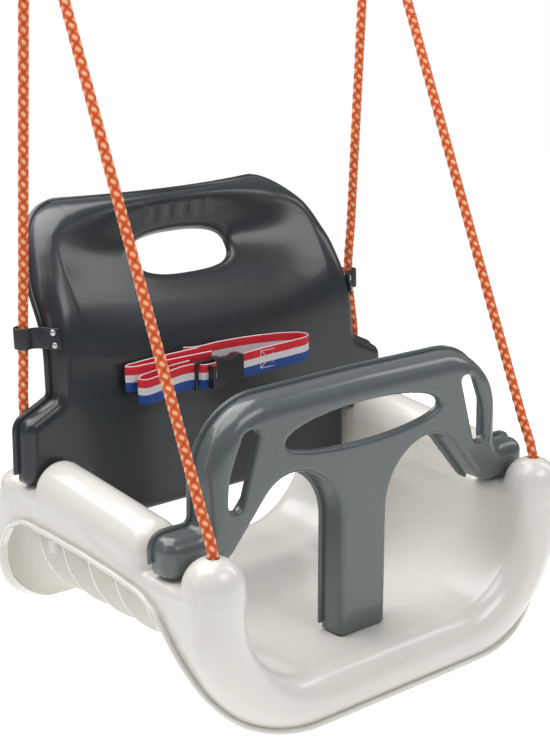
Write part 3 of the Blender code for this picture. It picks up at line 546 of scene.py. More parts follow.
def make_studio(low):
    """Pale floor below the hanging seat, an even white surround and large soft boxes.

    Floor and surround show brighter to the camera than the light they give, as a cut-out would.
    """
    mesh = bpy.data.meshes.new("floor")
    z = low.z - FLOOR_DROP
    mesh.from_pydata([(-9, -9, z), (9, -9, z), (9, 9, z), (-9, 9, z)], [], [(0, 1, 2, 3)])
    floor = placed("floor", mesh)
    pale = Nodes("floor")
    pale.set(Base_Color=pale.mix(pale.ramp(pale.noise(2.0), 0.0, 1.0), (0.93, 0.93, 0.93),
                                 (0.95, 0.95, 0.95)), Roughness=0.9,
             Emission_Color=(1.0, 1.0, 1.0))
    lit = pale.add("ShaderNodeLightPath").outputs["Is Camera Ray"]
    pale.set(Emission_Strength=pale.ramp(lit, 0.30, 0.90))
    mesh.materials.append(pale.material)
    floor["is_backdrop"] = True
    world = bpy.data.worlds.new("surround")
    world.use_nodes = True
    tree = world.node_tree
    back = tree.nodes["Background"]
    rays = tree.nodes.new("ShaderNodeLightPath")
    level = tree.nodes.new("ShaderNodeMapRange")
    level.inputs["To Min"].default_value = 0.16
    level.inputs["To Max"].default_value = 1.0
    tree.links.new(rays.outputs["Is Camera Ray"], level.inputs["Value"])
    tree.links.new(level.outputs["Result"], back.inputs["Strength"])
    back.inputs["Color"].default_value = (1.0, 1.0, 1.0, 1.0)
    bpy.context.scene.world = world
    for name, place, size, power in SOFTBOXES:
        softbox(name, place, LIT_POINT, size, power)
    bpy.context.scene.view_settings.view_transform = "Standard"


# ---------------------------------------------------------------- ropes


def front_rope_points(side):
    """Seat axes: from the stopper inside the post, out of the dome, up to the knot."""
    low = Vector((side * ROPE_X, FRONT_AXIS_Y, POST_AXIS_Z + ROLL))
    apex = Vector((side * APEX.x, APEX.y, APEX.z))
    run = (apex - low).normalized()
    end = apex - run * (KNOT_LOW / run.z)
    inside = [(side * ROPE_X, FRONT_AXIS_Y - 1.5, 96.0), (side * ROPE_X, FRONT_AXIS_Y - 1.0, 110.0)]
    return inside + [tuple(low + run * s) for s in (2, 40, 150, 300, 450)] + [tuple(end)]


def rear_rope_points(side):
    """Seat axes: from the rear stopper up behind the wing, through the clip, to the knot."""
    clip = Vector((side * CLIP_ROPE[0], CLIP_ROPE[1], CLIP_Z))
    apex = Vector((side * APEX.x, APEX.y, APEX.z))
    run = (apex - clip).normalized()
    end = apex - run * (KNOT_LOW / run.z)
    x, y = side * LEDGE_HOLE[0], LEDGE_HOLE[1]
    inside = [(x, y, REAR_END_Z), (x, y, 135.0), (x + side * 2, y + 1, 165.0),
              (x + side * 3.5, y + 1.6, 200.0), (x + side, y + 3.5, 228.0)]
    return inside + [tuple(clip)] + [tuple(clip + run * s) for s in (60, 170, 280)] + [tuple(end)]


def eye_points(side):
    """Row frame, in millimetres: from the knot's front, over the ring and back to its rear."""
    x, top = side * APEX.x, apex_z + KNOT_HIGH
    legs = [(x, EYE_LEG, apex_z - 14), (x, EYE_LEG, top), (x, EYE_LEG, top + 6)]
    over = arc_points((x, 0, top + EYE_RISE), EYE_R, -20, 200, 14)
    return legs + over + [(x, -y, z) for _, y, z in legs[::-1]]


def rope_route(side):
    """One rope for each side, from the front post over the ring to the rear ledge."""
    front = to_row(front_rope_points(side)) / MM
    rear = to_row(rear_rope_points(side)) / MM
    eye = np.array(eye_points(side))[::-1]
    return smooth_path(np.concatenate([front, eye, rear[::-1]]), 0.9)


def braid(path, name, around=28, strands=3, pitch=10.0):
    """Rope whose skin rises and falls like a round braid of strands running both ways."""
    ahead = np.gradient(path, axis=0)
    ahead /= np.linalg.norm(ahead, axis=1)[:, None]
    side, over = carried_axes(ahead, (0, 0, 1))
    angle = np.linspace(0, 2 * math.pi, around, endpoint=False)[None, :]
    step = np.linalg.norm(np.diff(path, axis=0), axis=1)
    walked = np.concatenate([[0], np.cumsum(step)])[:, None]
    first = strands * angle / (2 * math.pi) + walked / pitch
    second = strands * angle / (2 * math.pi) - walked / pitch
    over_first = (np.floor(first) + np.floor(second)) % 2 < 1
    across = np.where(over_first, first % 1, second % 1)
    length = np.where(over_first, second % 1, first % 1)
    crown = np.sin(math.pi * across) ** 1.2 * np.sin(math.pi * length) ** 0.35
    radius = ROPE_SKIN_R * (0.87 + 0.2 * crown)
    spoke = side[:, None] * np.cos(angle)[..., None] + over[:, None] * np.sin(angle)[..., None]
    points = (path[:, None] + spoke * radius[..., None]).reshape(-1, 3) * MM
    rope = mesh_object(name, points, tube_faces(len(path), around), 0)
    for label, values in (("crown", crown), ("fibre", across)):
        data = rope.data.attributes.new(label, "FLOAT", "POINT")
        data.data.foreach_set("value", values.astype(np.float32).ravel())
    return rope


def make_ropes():
    for side, word in SIDES:
        route = rope_route(side)
        rope = braid(route, f"{word}_rope")
        finish_piece(rope, "rope_fibre", "swing", f"{word}_front_rope", f"{word}_rear_rope",
                     f"{word}_rope_eye")
        knot = make_knot(side, word)
        plug = make_stopper(side, word)
        sleeve = make_sleeve(side, word)
        make_peg(side, word)


def make_knot(side, word):
    """Whipping where a side's two ropes meet: the rope's own tail wound round both legs."""
    turns, x = 4, side * APEX.x
    path = []
    for k in range(turns * 24 + 1):
        a = 2 * math.pi * k / 24
        z = apex_z - KNOT_LOW + 6 + (KNOT_LOW + KNOT_HIGH - 12) * k / (turns * 24)
        path.append((x + KNOT_HALF[0] * math.cos(a),
                     KNOT_HALF[1] * math.sin(a) - 2.5 * (1 - k / (turns * 24)), z))
    knot = braid(smooth_path(path, 0.9), f"{word}_knot_winding")
    return finish_piece(knot, "rope_fibre", "swing", f"{word}_knot")


def lathe(name, profile, axis_place, up, around=32, sharp=35):
    """Turned piece: profile is (radius, height) along the axis up, from axis_place, in mm."""
    up = Vector(up).normalized()
    turn = np.array(up.to_track_quat("Z", "Y").to_matrix())
    points = []
    for radius, height in profile:
        for k in range(around):
            a = 2 * math.pi * k / around
            points.append((radius * math.cos(a), radius * math.sin(a), height))
    points = np.array(points) @ turn.T + np.array(axis_place)
    return mesh_object(name, points * MM, tube_faces(len(profile), around), sharp)


def seat_direction(vector):
    return np.array(seat_matrix)[:3, :3] @ np.array(vector, float)


def upright_lathe(name, profile, place):
    """Turned piece that stands upright in the seat's axes."""
    return lathe(name, profile, to_row([place])[0] / MM, seat_direction((0, 0, 1)))


def make_stopper(side, word):
    """Ribbed cone that keeps the front rope in its post."""
    profile = [(4, -11), (9.2, -11), (9.7, -10)]
    for k in range(5):
        z = -8 + 4 * k
        profile += [(9.6 - 0.35 * k, z - 1.4), (8.6 - 0.35 * k, z), (9.3 - 0.35 * k, z + 1.4)]
    profile += [(7.6, 10.4), (7.0, 11), (4, 11)]
    place = (side * ROPE_X, FRONT_AXIS_Y - 1.5, FRONT_STOPPER_Z)
    plug = upright_lathe(f"{word}_front_stopper_cone", profile, place)
    return finish_piece(plug, "natural_plastic", "swing", f"{word}_front_stopper")


def make_sleeve(side, word):
    """Plastic stopper pinched on the rear rope's end under the ledge."""
    profile = [(3, -11), (6.6, -11), (7.3, -10.2), (7.3, -5), (6.4, -4), (6.4, -1), (7.3, 0),
               (7.3, 5), (6.4, 6), (6.4, 8), (7.3, 9), (7.0, 11), (3, 11)]
    place = (side * LEDGE_HOLE[0], LEDGE_HOLE[1], REAR_END_Z - 11.3)
    sleeve = upright_lathe(f"{word}_rear_sleeve", profile, place)
    return finish_piece(sleeve, "natural_plastic", "swing", f"{word}_rear_stopper")


def make_peg(side, word):
    """Peg that stands in the rear ledge and locates the backrest."""
    low, high = PEG_Z
    profile = [(2.2, low), (4.6, low), (5.3, low + 0.8), (5.3, low + 12), (4.4, low + 13),
               (4.4, low + 15), (5.4, low + 16), (5.4, high - 6), (4.9, high - 5),
               (4.9, high - 0.5), (4.4, high), (2.2, high)]
    peg = upright_lathe(f"{word}_locating_peg", profile, (side * PEG[0], PEG[1], 0))
    return finish_piece(peg, "natural_plastic", "swing", f"{word}_backrest_peg")


# ---------------------------------------------------------------- curved shells from formulas


def surface_net(field, low, high, cell):
    """Points and quads of the surface where field is zero, one point to each grid cell it crosses."""
    axes = [np.arange(a, b + cell, cell) for a, b in zip(low, high)]
    grid = np.stack(np.meshgrid(*axes, indexing="ij"), axis=-1)
    value = field(grid)
    cells = tuple(n - 1 for n in value.shape)
    total = np.zeros(cells + (3,))
    count = np.zeros(cells)
    crossings = []
    for axis in range(3):
        near = value.take(range(value.shape[axis] - 1), axis)
        far = value.take(range(1, value.shape[axis]), axis)
        first, second = (axis + 1) % 3, (axis + 2) % 3
        index = np.argwhere((near < 0) != (far < 0))
        fits = (index[:, first] > 0) & (index[:, second] > 0)
        fits &= (index[:, first] < cells[first]) & (index[:, second] < cells[second])
        index = index[fits]
        key = tuple(index.T)
        share = near[key] / (near[key] - far[key])
        point = grid[key].copy()
        point[:, axis] += share * cell
        corners = []
        for a, b in ((-1, -1), (0, -1), (0, 0), (-1, 0)):
            corner = index.copy()
            corner[:, first] += a
            corner[:, second] += b
            corners.append(corner)
            np.add.at(total, tuple(corner.T), point)
            np.add.at(count, tuple(corner.T), 1)
        crossings.append((corners, near[key] < 0))
    number = np.full(cells, -1)
    used = count > 0
    number[used] = np.arange(used.sum())
    points = total[used] / count[used][:, None]
    quads = []
    for corners, outward in crossings:
        quad = np.stack([number[tuple(c.T)] for c in corners], axis=1)
        quads.append(np.where(outward[:, None], quad, quad[:, ::-1]))
    return points, np.concatenate(quads)


def slope(field, points, step=0.05):
    """Gradient of a field at each point."""
    parts = []
    for axis in range(3):
        shift = np.zeros(3)
        shift[axis] = step
        parts.append((field(points + shift) - field(points - shift)) / (2 * step))
    return np.stack(parts, axis=-1)


def settle(field, points, rounds=3):
    """Move points onto the surface where field is zero."""
    for _ in range(rounds):
        grad = slope(field, points)
        length = np.maximum((grad**2).sum(-1), 0.05)
        points = points - grad * (field(points) / length)[:, None]
    return points


def relax(field, points, quads, rounds):
    """Even out a surface net without leaving the surface."""
    edges = np.concatenate([quads[:, [i, (i + 1) % 4]] for i in range(4)])
    for _ in range(rounds):
        total = np.zeros_like(points)
        count = np.zeros(len(points))
        for a, b in ((0, 1), (1, 0)):
            np.add.at(total, edges[:, a], points[edges[:, b]])
            np.add.at(count, edges[:, a], 1)
        points = settle(field, 0.5 * points + 0.5 * total / count[:, None], 1)
    return settle(field, points, 2)


def snap(field, keep, points, reach):
    """Slide points that lie near a cut onto it, so that the cut leaves no slivers."""
    for _ in range(3):
        value = keep(points)
        normal = slope(field, points)
        normal /= np.maximum(np.linalg.norm(normal, axis=1), 1e-6)[:, None]
        along = slope(keep, points)
        along -= normal * (along * normal).sum(-1)[:, None]
        length = (along**2).sum(-1)
        near = (np.abs(value) < reach) & (length > 0.1)
        move = np.where(near, -value / np.maximum(length, 0.1), 0)[:, None] * along
        moved = settle(field, points + move, 1)
        points = np.where(near[:, None], moved, points)
    return points


def trim(points, faces, keep):
    """Cut a mesh where keep changes sign, and drop the side where it is positive."""
    value = keep(points)
    value = np.where(np.abs(value) < 0.05, -0.05, value)
    points = list(map(tuple, points))
    made = {}
    kept = []
    for face in faces:
        side = [value[i] <= 0 for i in face]
        if all(side):
            kept.append(tuple(int(i) for i in face))
        if all(side) or not any(side):
            continue
        ring = []
        for a, b in zip(face, np.roll(face, -1)):
            a, b = int(a), int(b)
            if value[a] <= 0:
                ring.append(a)
            if (value[a] <= 0) != (value[b] <= 0):
                key = (min(a, b), max(a, b))
                if key not in made:
                    t = value[key[0]] / (value[key[0]] - value[key[1]])
                    start, end = np.array(points[key[0]]), np.array(points[key[1]])
                    made[key] = len(points)
                    points.append(tuple(start + t * (end - start)))
                ring.append(made[key])
        kept.append(tuple(ring))
    used = sorted({i for face in kept for i in face})
    place = {old: new for new, old in enumerate(used)}
    return [points[i] for i in used], [tuple(place[i] for i in face) for face in kept]


def add_rim(points, faces, field, width, wanted):
    """Turn the open edges outward by width, where wanted says so."""
    edges = {}
    for face in faces:
        for a, b in zip(face, face[1:] + face[:1]):
            edges[(a, b)] = True
    border = [(a, b) for a, b in edges if (b, a) not in edges]
    where = np.array(points)
    border = [(a, b) for a, b in border if wanted(where[a]) and wanted(where[b])]
    corners = sorted({i for edge in border for i in edge})
    normal = slope(field, where[corners])
    normal /= np.linalg.norm(normal, axis=1)[:, None]
    outer = {}
    for corner, direction in zip(corners, normal):
        outer[corner] = len(points)
        points.append(tuple(where[corner] + width * direction))
    for a, b in border:
        faces.append((b, a, outer[a], outer[b]))
    return points, faces


def round_outline(corners, steps=7):
    """Closed outline through corners (x, z, radius), each rounded by an arc."""
    points = []
    total = len(corners)
    for i, (x, z, radius) in enumerate(corners):
        corner = np.array((x, z), float)
        before = np.array(corners[i - 1][:2], float) - corner
        after = np.array(corners[(i + 1) % total][:2], float) - corner
        before /= np.linalg.norm(before)
        after /= np.linalg.norm(after)
        half = math.acos(max(-1.0, min(1.0, float(before @ after)))) / 2
        if radius <= 0 or half > 1.55:
            points.append(corner)
            continue
        reach = radius / math.tan(half)
        middle = before + after
        middle = corner + middle / np.linalg.norm(middle) * radius / math.sin(half)
        start = corner + before * reach - middle
        end = corner + after * reach - middle
        turn = math.atan2(start[0] * end[1] - start[1] * end[0], start @ end)
        for k in range(steps + 1):
            c, s = math.cos(turn * k / steps), math.sin(turn * k / steps)
            points.append(middle + (c * start[0] - s * start[1], s * start[0] + c * start[1]))
    return np.array(points)


def both_sides(half):
    """Full outline from a right half that starts and ends on the middle line."""
    return list(half) + [(-x, z, r) for x, z, r in reversed(half) if x > 0]


def mirrored(corners):
    return [(-x, z, r) for x, z, r in reversed(corners)]


def outline_distance(outline, x, z):
    """Distance to a closed outline, negative inside."""
    near = np.full(np.shape(x), 1e9)
    inside = np.zeros(np.shape(x), bool)
    for (ax, az), (bx, bz) in zip(outline, np.roll(outline, -1, axis=0)):
        dx, dz = bx - ax, bz - az
        length = dx * dx + dz * dz
        if length < 1e-9:
            continue
        t = np.clip(((x - ax) * dx + (z - az) * dz) / length, 0, 1)
        near = np.minimum(near, (x - ax - t * dx) ** 2 + (z - az - t * dz) ** 2)
        if az != bz:
            crosses = ((az > z) != (bz > z)) & (x < ax + (z - az) * dx / dz)
            inside ^= crosses
    near = np.sqrt(near)
    return np.where(inside, -near, near)


def round_corner(a, b, radius):
    """Inside both a < 0 and b < 0, with a round edge where they meet."""
    pa, pb = a + radius, b + radius
    outside = np.hypot(np.maximum(pa, 0), np.maximum(pb, 0))
    return outside + np.minimum(np.maximum(pa, pb), 0) - radius


def blend_min(a, b, width):
    """Smooth union of two fields."""
    h = np.maximum(width - np.abs(a - b), 0) / np.maximum(width, 1e-6)
    return np.minimum(a, b) - h * h * width / 4


def smooth_step(t):
    t = np.clip(t, 0, 1)
    return t * t * (3 - 2 * t)


def bar_object(name, segments, radius, length):
    """Upright bar with flat ends, about the origin."""
    bm = bmesh.new()
    bmesh.ops.create_cone(bm, cap_ends=True, segments=segments, radius1=radius * MM,
                          radius2=radius * MM, depth=length * MM)
    return solid_object(name, bm)


def cylinder_cutter(radius, length, matrix):
    """Round cutter, upright before matrix places it in the row frame."""
    cutter = bar_object("cutter", 32, radius, length)
    cutter.matrix_world = matrix
    return cutter


def facing(place, up):
    """Turns +Z along up, at a place in the row frame in metres."""
    return Matrix.Translation(Vector(place)) @ Vector(up).to_track_quat("Z", "Y").to_matrix().to_4x4()


def lying_along_x(place):
    """Turns +Z along X, at a place in the row frame in millimetres."""
    return Matrix.Translation(Vector(place) * MM) @ Matrix.Rotation(math.pi / 2, 4, "Y")


def box_cutter(size, place):
    bm = bmesh.new()
    bmesh.ops.create_cube(bm, size=1.0)
    bmesh.ops.scale(bm, vec=[s * MM for s in size], verts=bm.verts)
    cutter = solid_object("cutter", bm)
    cutter.matrix_world = seat_matrix @ Matrix.Translation(Vector(place) * MM)
    return cutter


# ---------------------------------------------------------------- seat


def channel_offset(x, z):
    """How far a point lies outside the U-shaped inner face of the seat."""
    across = np.abs(x) - (SEAT_HALF - SEAT_BEND)
    down = SEAT_BEND - z
    corner = np.hypot(np.maximum(across, 0), np.maximum(down, 0))
    return corner + np.minimum(np.maximum(across, down), 0) - SEAT_BEND


def seat_field(p):
    """The seat as a thick U with rolled edges, two posts, two arms and notches between them."""
    x, y, z = p[..., 0], p[..., 1], p[..., 2]
    m = channel_offset(x, z) - ROLL
    rear_axis = REAR_AXIS_Y - REAR_LEAN * smooth_step((z - 40) / 90)
    past = np.maximum(np.maximum(FRONT_AXIS_Y - y, y - rear_axis), 0)
    roll = np.hypot(m, past) - ROLL
    floor = SADDLE_Z + (LEDGE_Z - SADDLE_Z) * smooth_step((y - 60) / 90)
    body = round_corner(roll, z - floor, SADDLE_ROUND)
    soft = 5 * smooth_step((z - 84) / 16) + 0.01
    arm_axis = ARM_AXIS_Z + ARM_RISE * (y - ARM_START_Y)
    for start, end, axis, back in (
        (FRONT_AXIS_Y, FRONT_AXIS_Y, POST_AXIS_Z, 400),
        (ARM_START_Y, 400, arm_axis, ARM_BACK_Y),
        (rear_axis, rear_axis, CORNER_AXIS_Z, 400),
    ):
        along = np.maximum(np.maximum(start - y, y - end), 0)
        dome = np.sqrt(m**2 + along**2 + np.maximum(z - axis, 0) ** 2) - ROLL
        body = blend_min(body, round_corner(dome, y - back, 5), soft)
    return body


def seat_opening(p):
    """Positive where the underside of the seat is open."""
    arch = np.array(ARCH, float)
    edge = np.interp(p[..., 1], arch[:, 0], arch[:, 1])
    outer = channel_offset(p[..., 0], p[..., 2]) - 0.75 * ROLL
    return np.minimum(edge - p[..., 2], outer)


def rib_outline(steps=16):
    """One floor rib in the XZ plane: a plate between the seat's wall and a wider, shallower U."""
    half, low, corner = RIB_OUTER
    inner = (SEAT_HALF - SEAT_BEND, SEAT_BEND, SEAT_BEND + SEAT_WALL - 1.2)
    points = []
    for (x, z, radius), order in ((inner, 1), ((half - corner, low + corner, corner), -1)):
        turn = [math.pi / 2 * k / steps for k in range(steps + 1)]
        right = [(x + radius * math.sin(a), z - radius * math.cos(a)) for a in turn]
        left = [(-u, v) for u, v in reversed(right)]
        points += (left + right)[::order]
    return points


def prism(name, outline, low, high, to_point):
    """Prism on an outline; to_point places (u, v, depth) in the row frame, in metres."""
    count = len(outline)
    flat = [to_point(u, v, low) for u, v in outline] + [to_point(u, v, high) for u, v in outline]
    faces = [tuple(range(count))[::-1], tuple(range(count, 2 * count))]
    faces += [(i, (i + 1) % count, count + (i + 1) % count, count + i) for i in range(count)]
    return face_outward(mesh_object(name, flat, faces))


def join(target, *others):
    """Put other objects' faces into target."""
    bm = bmesh.new()
    bm.from_mesh(target.data)
    for other in others:
        bm.from_mesh(other.data)
        bpy.data.objects.remove(other, do_unlink=True)
    bm.to_mesh(target.data)
    bm.free()
    target.data.shade_smooth()
    target.data.set_sharp_from_angle(angle=math.radians(40))
    return target


def make_seat():
    low = (-SEAT_HALF - 2 * ROLL - 9, FRONT_AXIS_Y - ROLL - 9, -2 * ROLL - 9)
    high = (SEAT_HALF + 2 * ROLL + 9, REAR_AXIS_Y + ROLL + 9, 160)
    points, quads = surface_net(seat_field, low, high, CELL)
    points = relax(seat_field, points, quads, 6)
    points = snap(seat_field, seat_opening, points, 0.45 * CELL)
    points, faces = trim(points, quads, seat_opening)
    points, faces = add_rim(points, faces, seat_field, RIM_WIDTH, lambda q: True)
    beads = rim_beads(points, faces)
    seat = mesh_object("seat", to_row(points), faces)
    solidify(seat, SEAT_WALL)
    apply_modifiers(seat)
    for side in (-1, 1):
        for x, y, z, radius in ((ROPE_X, FRONT_AXIS_Y, 122.0, ROPE_HOLE_R),
                                (*LEDGE_HOLE, 120.0, ROPE_HOLE_R),
                                (*PEG, 121.0, PEG_R + 0.4)):
            matrix = facing(to_row([(side * x, y, z)])[0], seat_direction((0, 0, 1)))
            cut(seat, cylinder_cutter(radius, 30, matrix))
    ribs = []
    for number in range(RIB_COUNT):
        y = RIB_FIRST_Y + RIB_PITCH * number
        outline = rib_outline()
        rib = prism(f"rib_{number}", outline, y, y + RIB_THICK, lambda u, v, d: to_row([(u, d, v)])[0])
        bevel(rib, 0.7)
        ribs.append(apply_modifiers(rib))
    join(seat, *ribs, *beads)
    mark_ribs(seat)
    finish_piece(seat, "seat_plastic", "swing", "seat_shell")


def rim_beads(points, faces):
    """Round bars along the open edges of a shell."""
    edges = {(a, b) for face in faces for a, b in zip(face, face[1:] + face[:1])}
    after = {a: b for a, b in edges if (b, a) not in edges}
    beads = []
    while after:
        start, here = after.popitem()
        chain = [start]
        while here in after:
            chain.append(here)
            here = after.pop(here)
        if len(chain) < 12:
            continue
        path = np.array([points[i] for i in chain])
        for _ in range(4):
            path = (np.roll(path, 1, axis=0) + 2 * path + np.roll(path, -1, axis=0)) / 4
        step = np.linalg.norm(np.diff(np.concatenate([path, path[:1]]), axis=0), axis=1)
        walked = np.concatenate([[0], np.cumsum(step)])
        even = np.linspace(0, walked[-1], int(walked[-1] / 3.0), endpoint=False)
        closed = np.concatenate([path, path[:1]])
        path = np.stack([np.interp(even, walked, closed[:, a]) for a in range(3)], axis=1)
        beads.append(closed_bar("bead", to_row(path) / MM, BEAD_R, 12))
    return beads


def mark_ribs(seat):
    """How far along the floor each point lies, in half turns from rib to rib, for the sink lines."""
    inverse = np.array(seat_matrix.inverted())
    count = len(seat.data.vertices)
    places = np.zeros(count * 3, np.float32)
    seat.data.vertices.foreach_get("co", places)
    local = (places.reshape(-1, 3) @ inverse[:3, :3].T + inverse[:3, 3]) / MM
    phase = (local[:, 1] - RIB_FIRST_Y - RIB_THICK / 2) / RIB_PITCH * math.pi
    phase = np.clip(phase, -math.pi / 2, (RIB_COUNT - 0.5) * math.pi)
    phase = np.where(local[:, 2] < 60, phase, math.pi / 2)
    data = seat.data.attributes.new("rib_phase", "FLOAT", "POINT")
    data.data.foreach_set("value", phase.astype(np.float32))


# ---------------------------------------------------------------- T-bar


def bar_field(p):
    """The T-bar as a plate with rounded front edges; its open back lies at BAR_DEPTH."""
    x, y, z = p[..., 0], p[..., 1], p[..., 2]
    edge = BAR_EDGE + (BAR_TOP_EDGE - BAR_EDGE) * smooth_step((z - 196) / 26)
    shape = round_corner(outline_distance(BAR_OUTLINE, x, z), -y, edge)
    shape = np.maximum(shape, BAR_FOOT_Z - z)
    for outline in BAR_CUTS:
        shape = np.maximum(shape, round_corner(-outline_distance(outline, x, z), -y, BAR_ARCH_EDGE))
    for outline in BAR_SLOTS:
        shape = np.maximum(shape, round_corner(-outline_distance(outline, x, z), -y, BAR_SLOT_EDGE))
    return shape


def bar_opening(p):
    """Positive behind the T-bar's open back, and behind the short walls of its slots."""
    x, y, z = p[..., 0], p[..., 1], p[..., 2]
    near = np.min([np.abs(outline_distance(outline, x, z)) for outline in BAR_SLOTS], axis=0)
    return np.maximum(y - BAR_DEPTH, np.minimum(3.0 - near, y - BAR_SLOT_WALL))


def lens_outline(count=48):
    half, rise, drop, height = BAR_LENS
    points = []
    for k in range(count):
        angle = 2 * math.pi * k / count
        reach = rise if math.sin(angle) > 0 else drop
        points.append((half * math.cos(angle), height + reach * math.sin(angle)))
    return np.array(points)


BAR_OUTLINE = round_outline(both_sides(BAR_HALF), 14)
BAR_CUTS = [round_outline(BAR_ARCH, 14), round_outline(mirrored(BAR_ARCH), 14)]
BAR_SLOTS = [lens_outline(), round_outline(BAR_SIDE_SLOT, 8), round_outline(mirrored(BAR_SIDE_SLOT), 8)]


def bar_to_row(points):
    return to_row(np.asarray(points, float) + np.array((0, BAR_FRONT_Y, 0)))


def make_bar():
    low, high = (-224, -8, -8), (224, BAR_DEPTH + 9, 246)
    points, quads = surface_net(bar_field, low, high, CELL * 0.85)
    points = relax(bar_field, points, quads, 4)
    points = snap(bar_field, bar_opening, points, 0.4 * CELL)
    points, faces = trim(points, quads, bar_opening)

    def on_outer_edge(q):
        slot = min(outline_distance(o, np.array(q[0]), np.array(q[2])) for o in BAR_SLOTS)
        over_saddle = abs(q[0]) > 158 and q[2] < 112
        return slot > 3 and q[2] > 6 and not over_saddle

    points, faces = add_rim(points, faces, bar_field, RIM_WIDTH, on_outer_edge)
    bar = mesh_object("t_bar_shell", bar_to_row(points), faces)
    solidify(bar, BAR_WALL)
    apply_modifiers(bar)
    finish_piece(bar, "bar_plastic", "t_bar", "t_bar")


# ---------------------------------------------------------------- backrest


def back_lean(z):
    """Slope of the backrest's face, dy/dz, at a height."""
    return BACK_LEAN + BACK_RECLINE * smooth_step((z - BEND_LOW_Z) / (BEND_HIGH_Z - BEND_LOW_Z))


BACK_Z = np.linspace(40, 420, 381)
BACK_Y = BACK_FACE_Y + np.concatenate([[0], np.cumsum(back_lean(BACK_Z[:-1] + 0.5))])
BACK_Y -= np.interp(BACK_FOOT_Z, BACK_Z, BACK_Y) - BACK_FACE_Y


def back_bow(x, height):
    """How far the backrest's face lies behind the plain bent plate: a scoop and swept-back corners."""
    depth, middle, spread, half = BACK_DISH
    reach_down = np.where(height < middle, 1.35 * spread, spread)
    scoop = depth * np.exp(-(((height - middle) / reach_down) ** 2)) * np.maximum(1 - (x / half) ** 2, 0)
    centre, ends, reach, start, rise = BACK_SWEEP
    sweep = centre + ends * np.minimum((x / reach) ** 2, 1)
    return scoop + sweep * smooth_step((height - start) / rise)


def back_point(x, height, depth):
    """Place a point of the flat backrest pattern on the bent backrest."""
    lean = back_lean(height)
    scale = np.sqrt(1 + lean**2)
    y = np.interp(height, BACK_Z, BACK_Y) + back_bow(x, height) + depth / scale
    return np.stack([x, y, height - depth * lean / scale], axis=-1)


def hand_slot_distance(x, z):
    half, rise, height, power = HAND_SLOT
    ratio = (np.abs(x / half) ** power + np.abs((z - height) / rise) ** power) ** (1 / power)
    return (ratio - 1) * rise


def grip_ridge(x, y, z, ridge_x):
    """Low rounded step on the top roll."""
    across = np.abs(x - ridge_x) - GRIP_HALF_X
    over = np.abs(z - GRIP_Z) - GRIP_HALF_Z
    return round_corner(np.maximum(across, over), np.abs(y) - GRIP_RISE, 0.8)


def back_field(p):
    """The flat backrest pattern: x across, y depth behind the face, z height along it."""
    x, y, z = p[..., 0], p[..., 1], p[..., 2]
    edge = 10 + 14 * smooth_step((z - 205) / 130)
    shape = round_corner(outline_distance(BACK_OUTLINE, x, z), -y, edge)
    shape = np.maximum(shape, round_corner(-hand_slot_distance(x, z), -y, 4.2))
    for ridge_x in GRIP_X:
        shape = blend_min(shape, grip_ridge(x, y, z, ridge_x), 1.0)
    return shape


BACK_OUTLINE = round_outline(both_sides(BACK_HALF), 14)


def back_opening(p):
    """Positive behind the backrest's open back, and behind the hand slot's short wall."""
    x, y, z = p[..., 0], p[..., 1], p[..., 2]
    near_slot = 3.0 - np.abs(hand_slot_distance(x, z))
    return np.maximum(y - BACK_DEPTH, np.minimum(near_slot, y - HAND_SLOT_WALL))


def make_back():
    low, high = (-230, -9, 70), (230, BACK_DEPTH + 9, 388)
    points, quads = surface_net(back_field, low, high, CELL * 0.85)
    points = relax(back_field, points, quads, 4)
    points = snap(back_field, back_opening, points, 0.4 * CELL)
    points, faces = trim(points, quads, back_opening)
    points, faces = add_rim(points, faces, back_field, RIM_WIDTH,
                            lambda q: q[1] > BACK_DEPTH - 1 and q[2] > WING_FOOT_Z + 6)
    flat = np.array(points)
    bent = back_point(flat[:, 0], flat[:, 2], flat[:, 1])
    back = mesh_object("backrest_shell", to_row(bent), faces)
    solidify(back, BACK_WALL)
    apply_modifiers(back)
    half, rise, height = BELT_SLOT
    slot_y = float(np.interp(height, BACK_Z, BACK_Y))
    for side in (-1, 1):
        cut(back, box_cutter((2 * half, 30, 2 * rise - 9), (side * BELT_SLOT_X, slot_y, height - 2.5)))
    finish_piece(back, "back_plastic", "swing", "backrest")


# ---------------------------------------------------------------- clips


def clip_path(side):
    """Plan of a rope clip: off the backrest's rounded edge, round the rope and back."""
    face_y = float(np.interp(CLIP_Z, BACK_Z, BACK_Y))
    edge = 10 + 14 * float(smooth_step((CLIP_Z - 205) / 130))
    centre = np.array((178.5 - edge, face_y + edge))
    reach = edge + 2.4
    points = [centre + reach * np.array((math.sin(a), -math.cos(a)))
              for a in np.radians((38, 50, 62, 75))]
    rope = np.array(CLIP_ROPE)
    wrap = ROPE_R + 3.5
    points += [rope + wrap * np.array((math.cos(a), math.sin(a)))
               for a in np.radians((-118, -90, -62, -34, -6, 22, 50, 78, 106, 134))]
    return np.array([(side * x, y) for x, y in points])


def ribbon(name, path, centre_z, half_height, thickness, lean):
    """Soft strap: a rounded strip along a plan path (x, y); lean gives its slope at each point."""
    ahead = np.gradient(path, axis=0)
    ahead /= np.linalg.norm(ahead, axis=1)[:, None]
    side = np.stack([-ahead[:, 1], ahead[:, 0]], axis=1)
    outline = round_outline([(-thickness / 2, -half_height, 0.8), (thickness / 2, -half_height, 0.8),
                             (thickness / 2, half_height, 0.8), (-thickness / 2, half_height, 0.8)], 3)
    points = []
    for k in range(len(path)):
        for across, rise in outline:
            x, y = path[k] + side[k] * across
            points.append((x, y + rise * lean[k], centre_z[k] + rise))
    return face_outward(mesh_object(name, to_row(points), tube_faces(len(path), len(outline))))


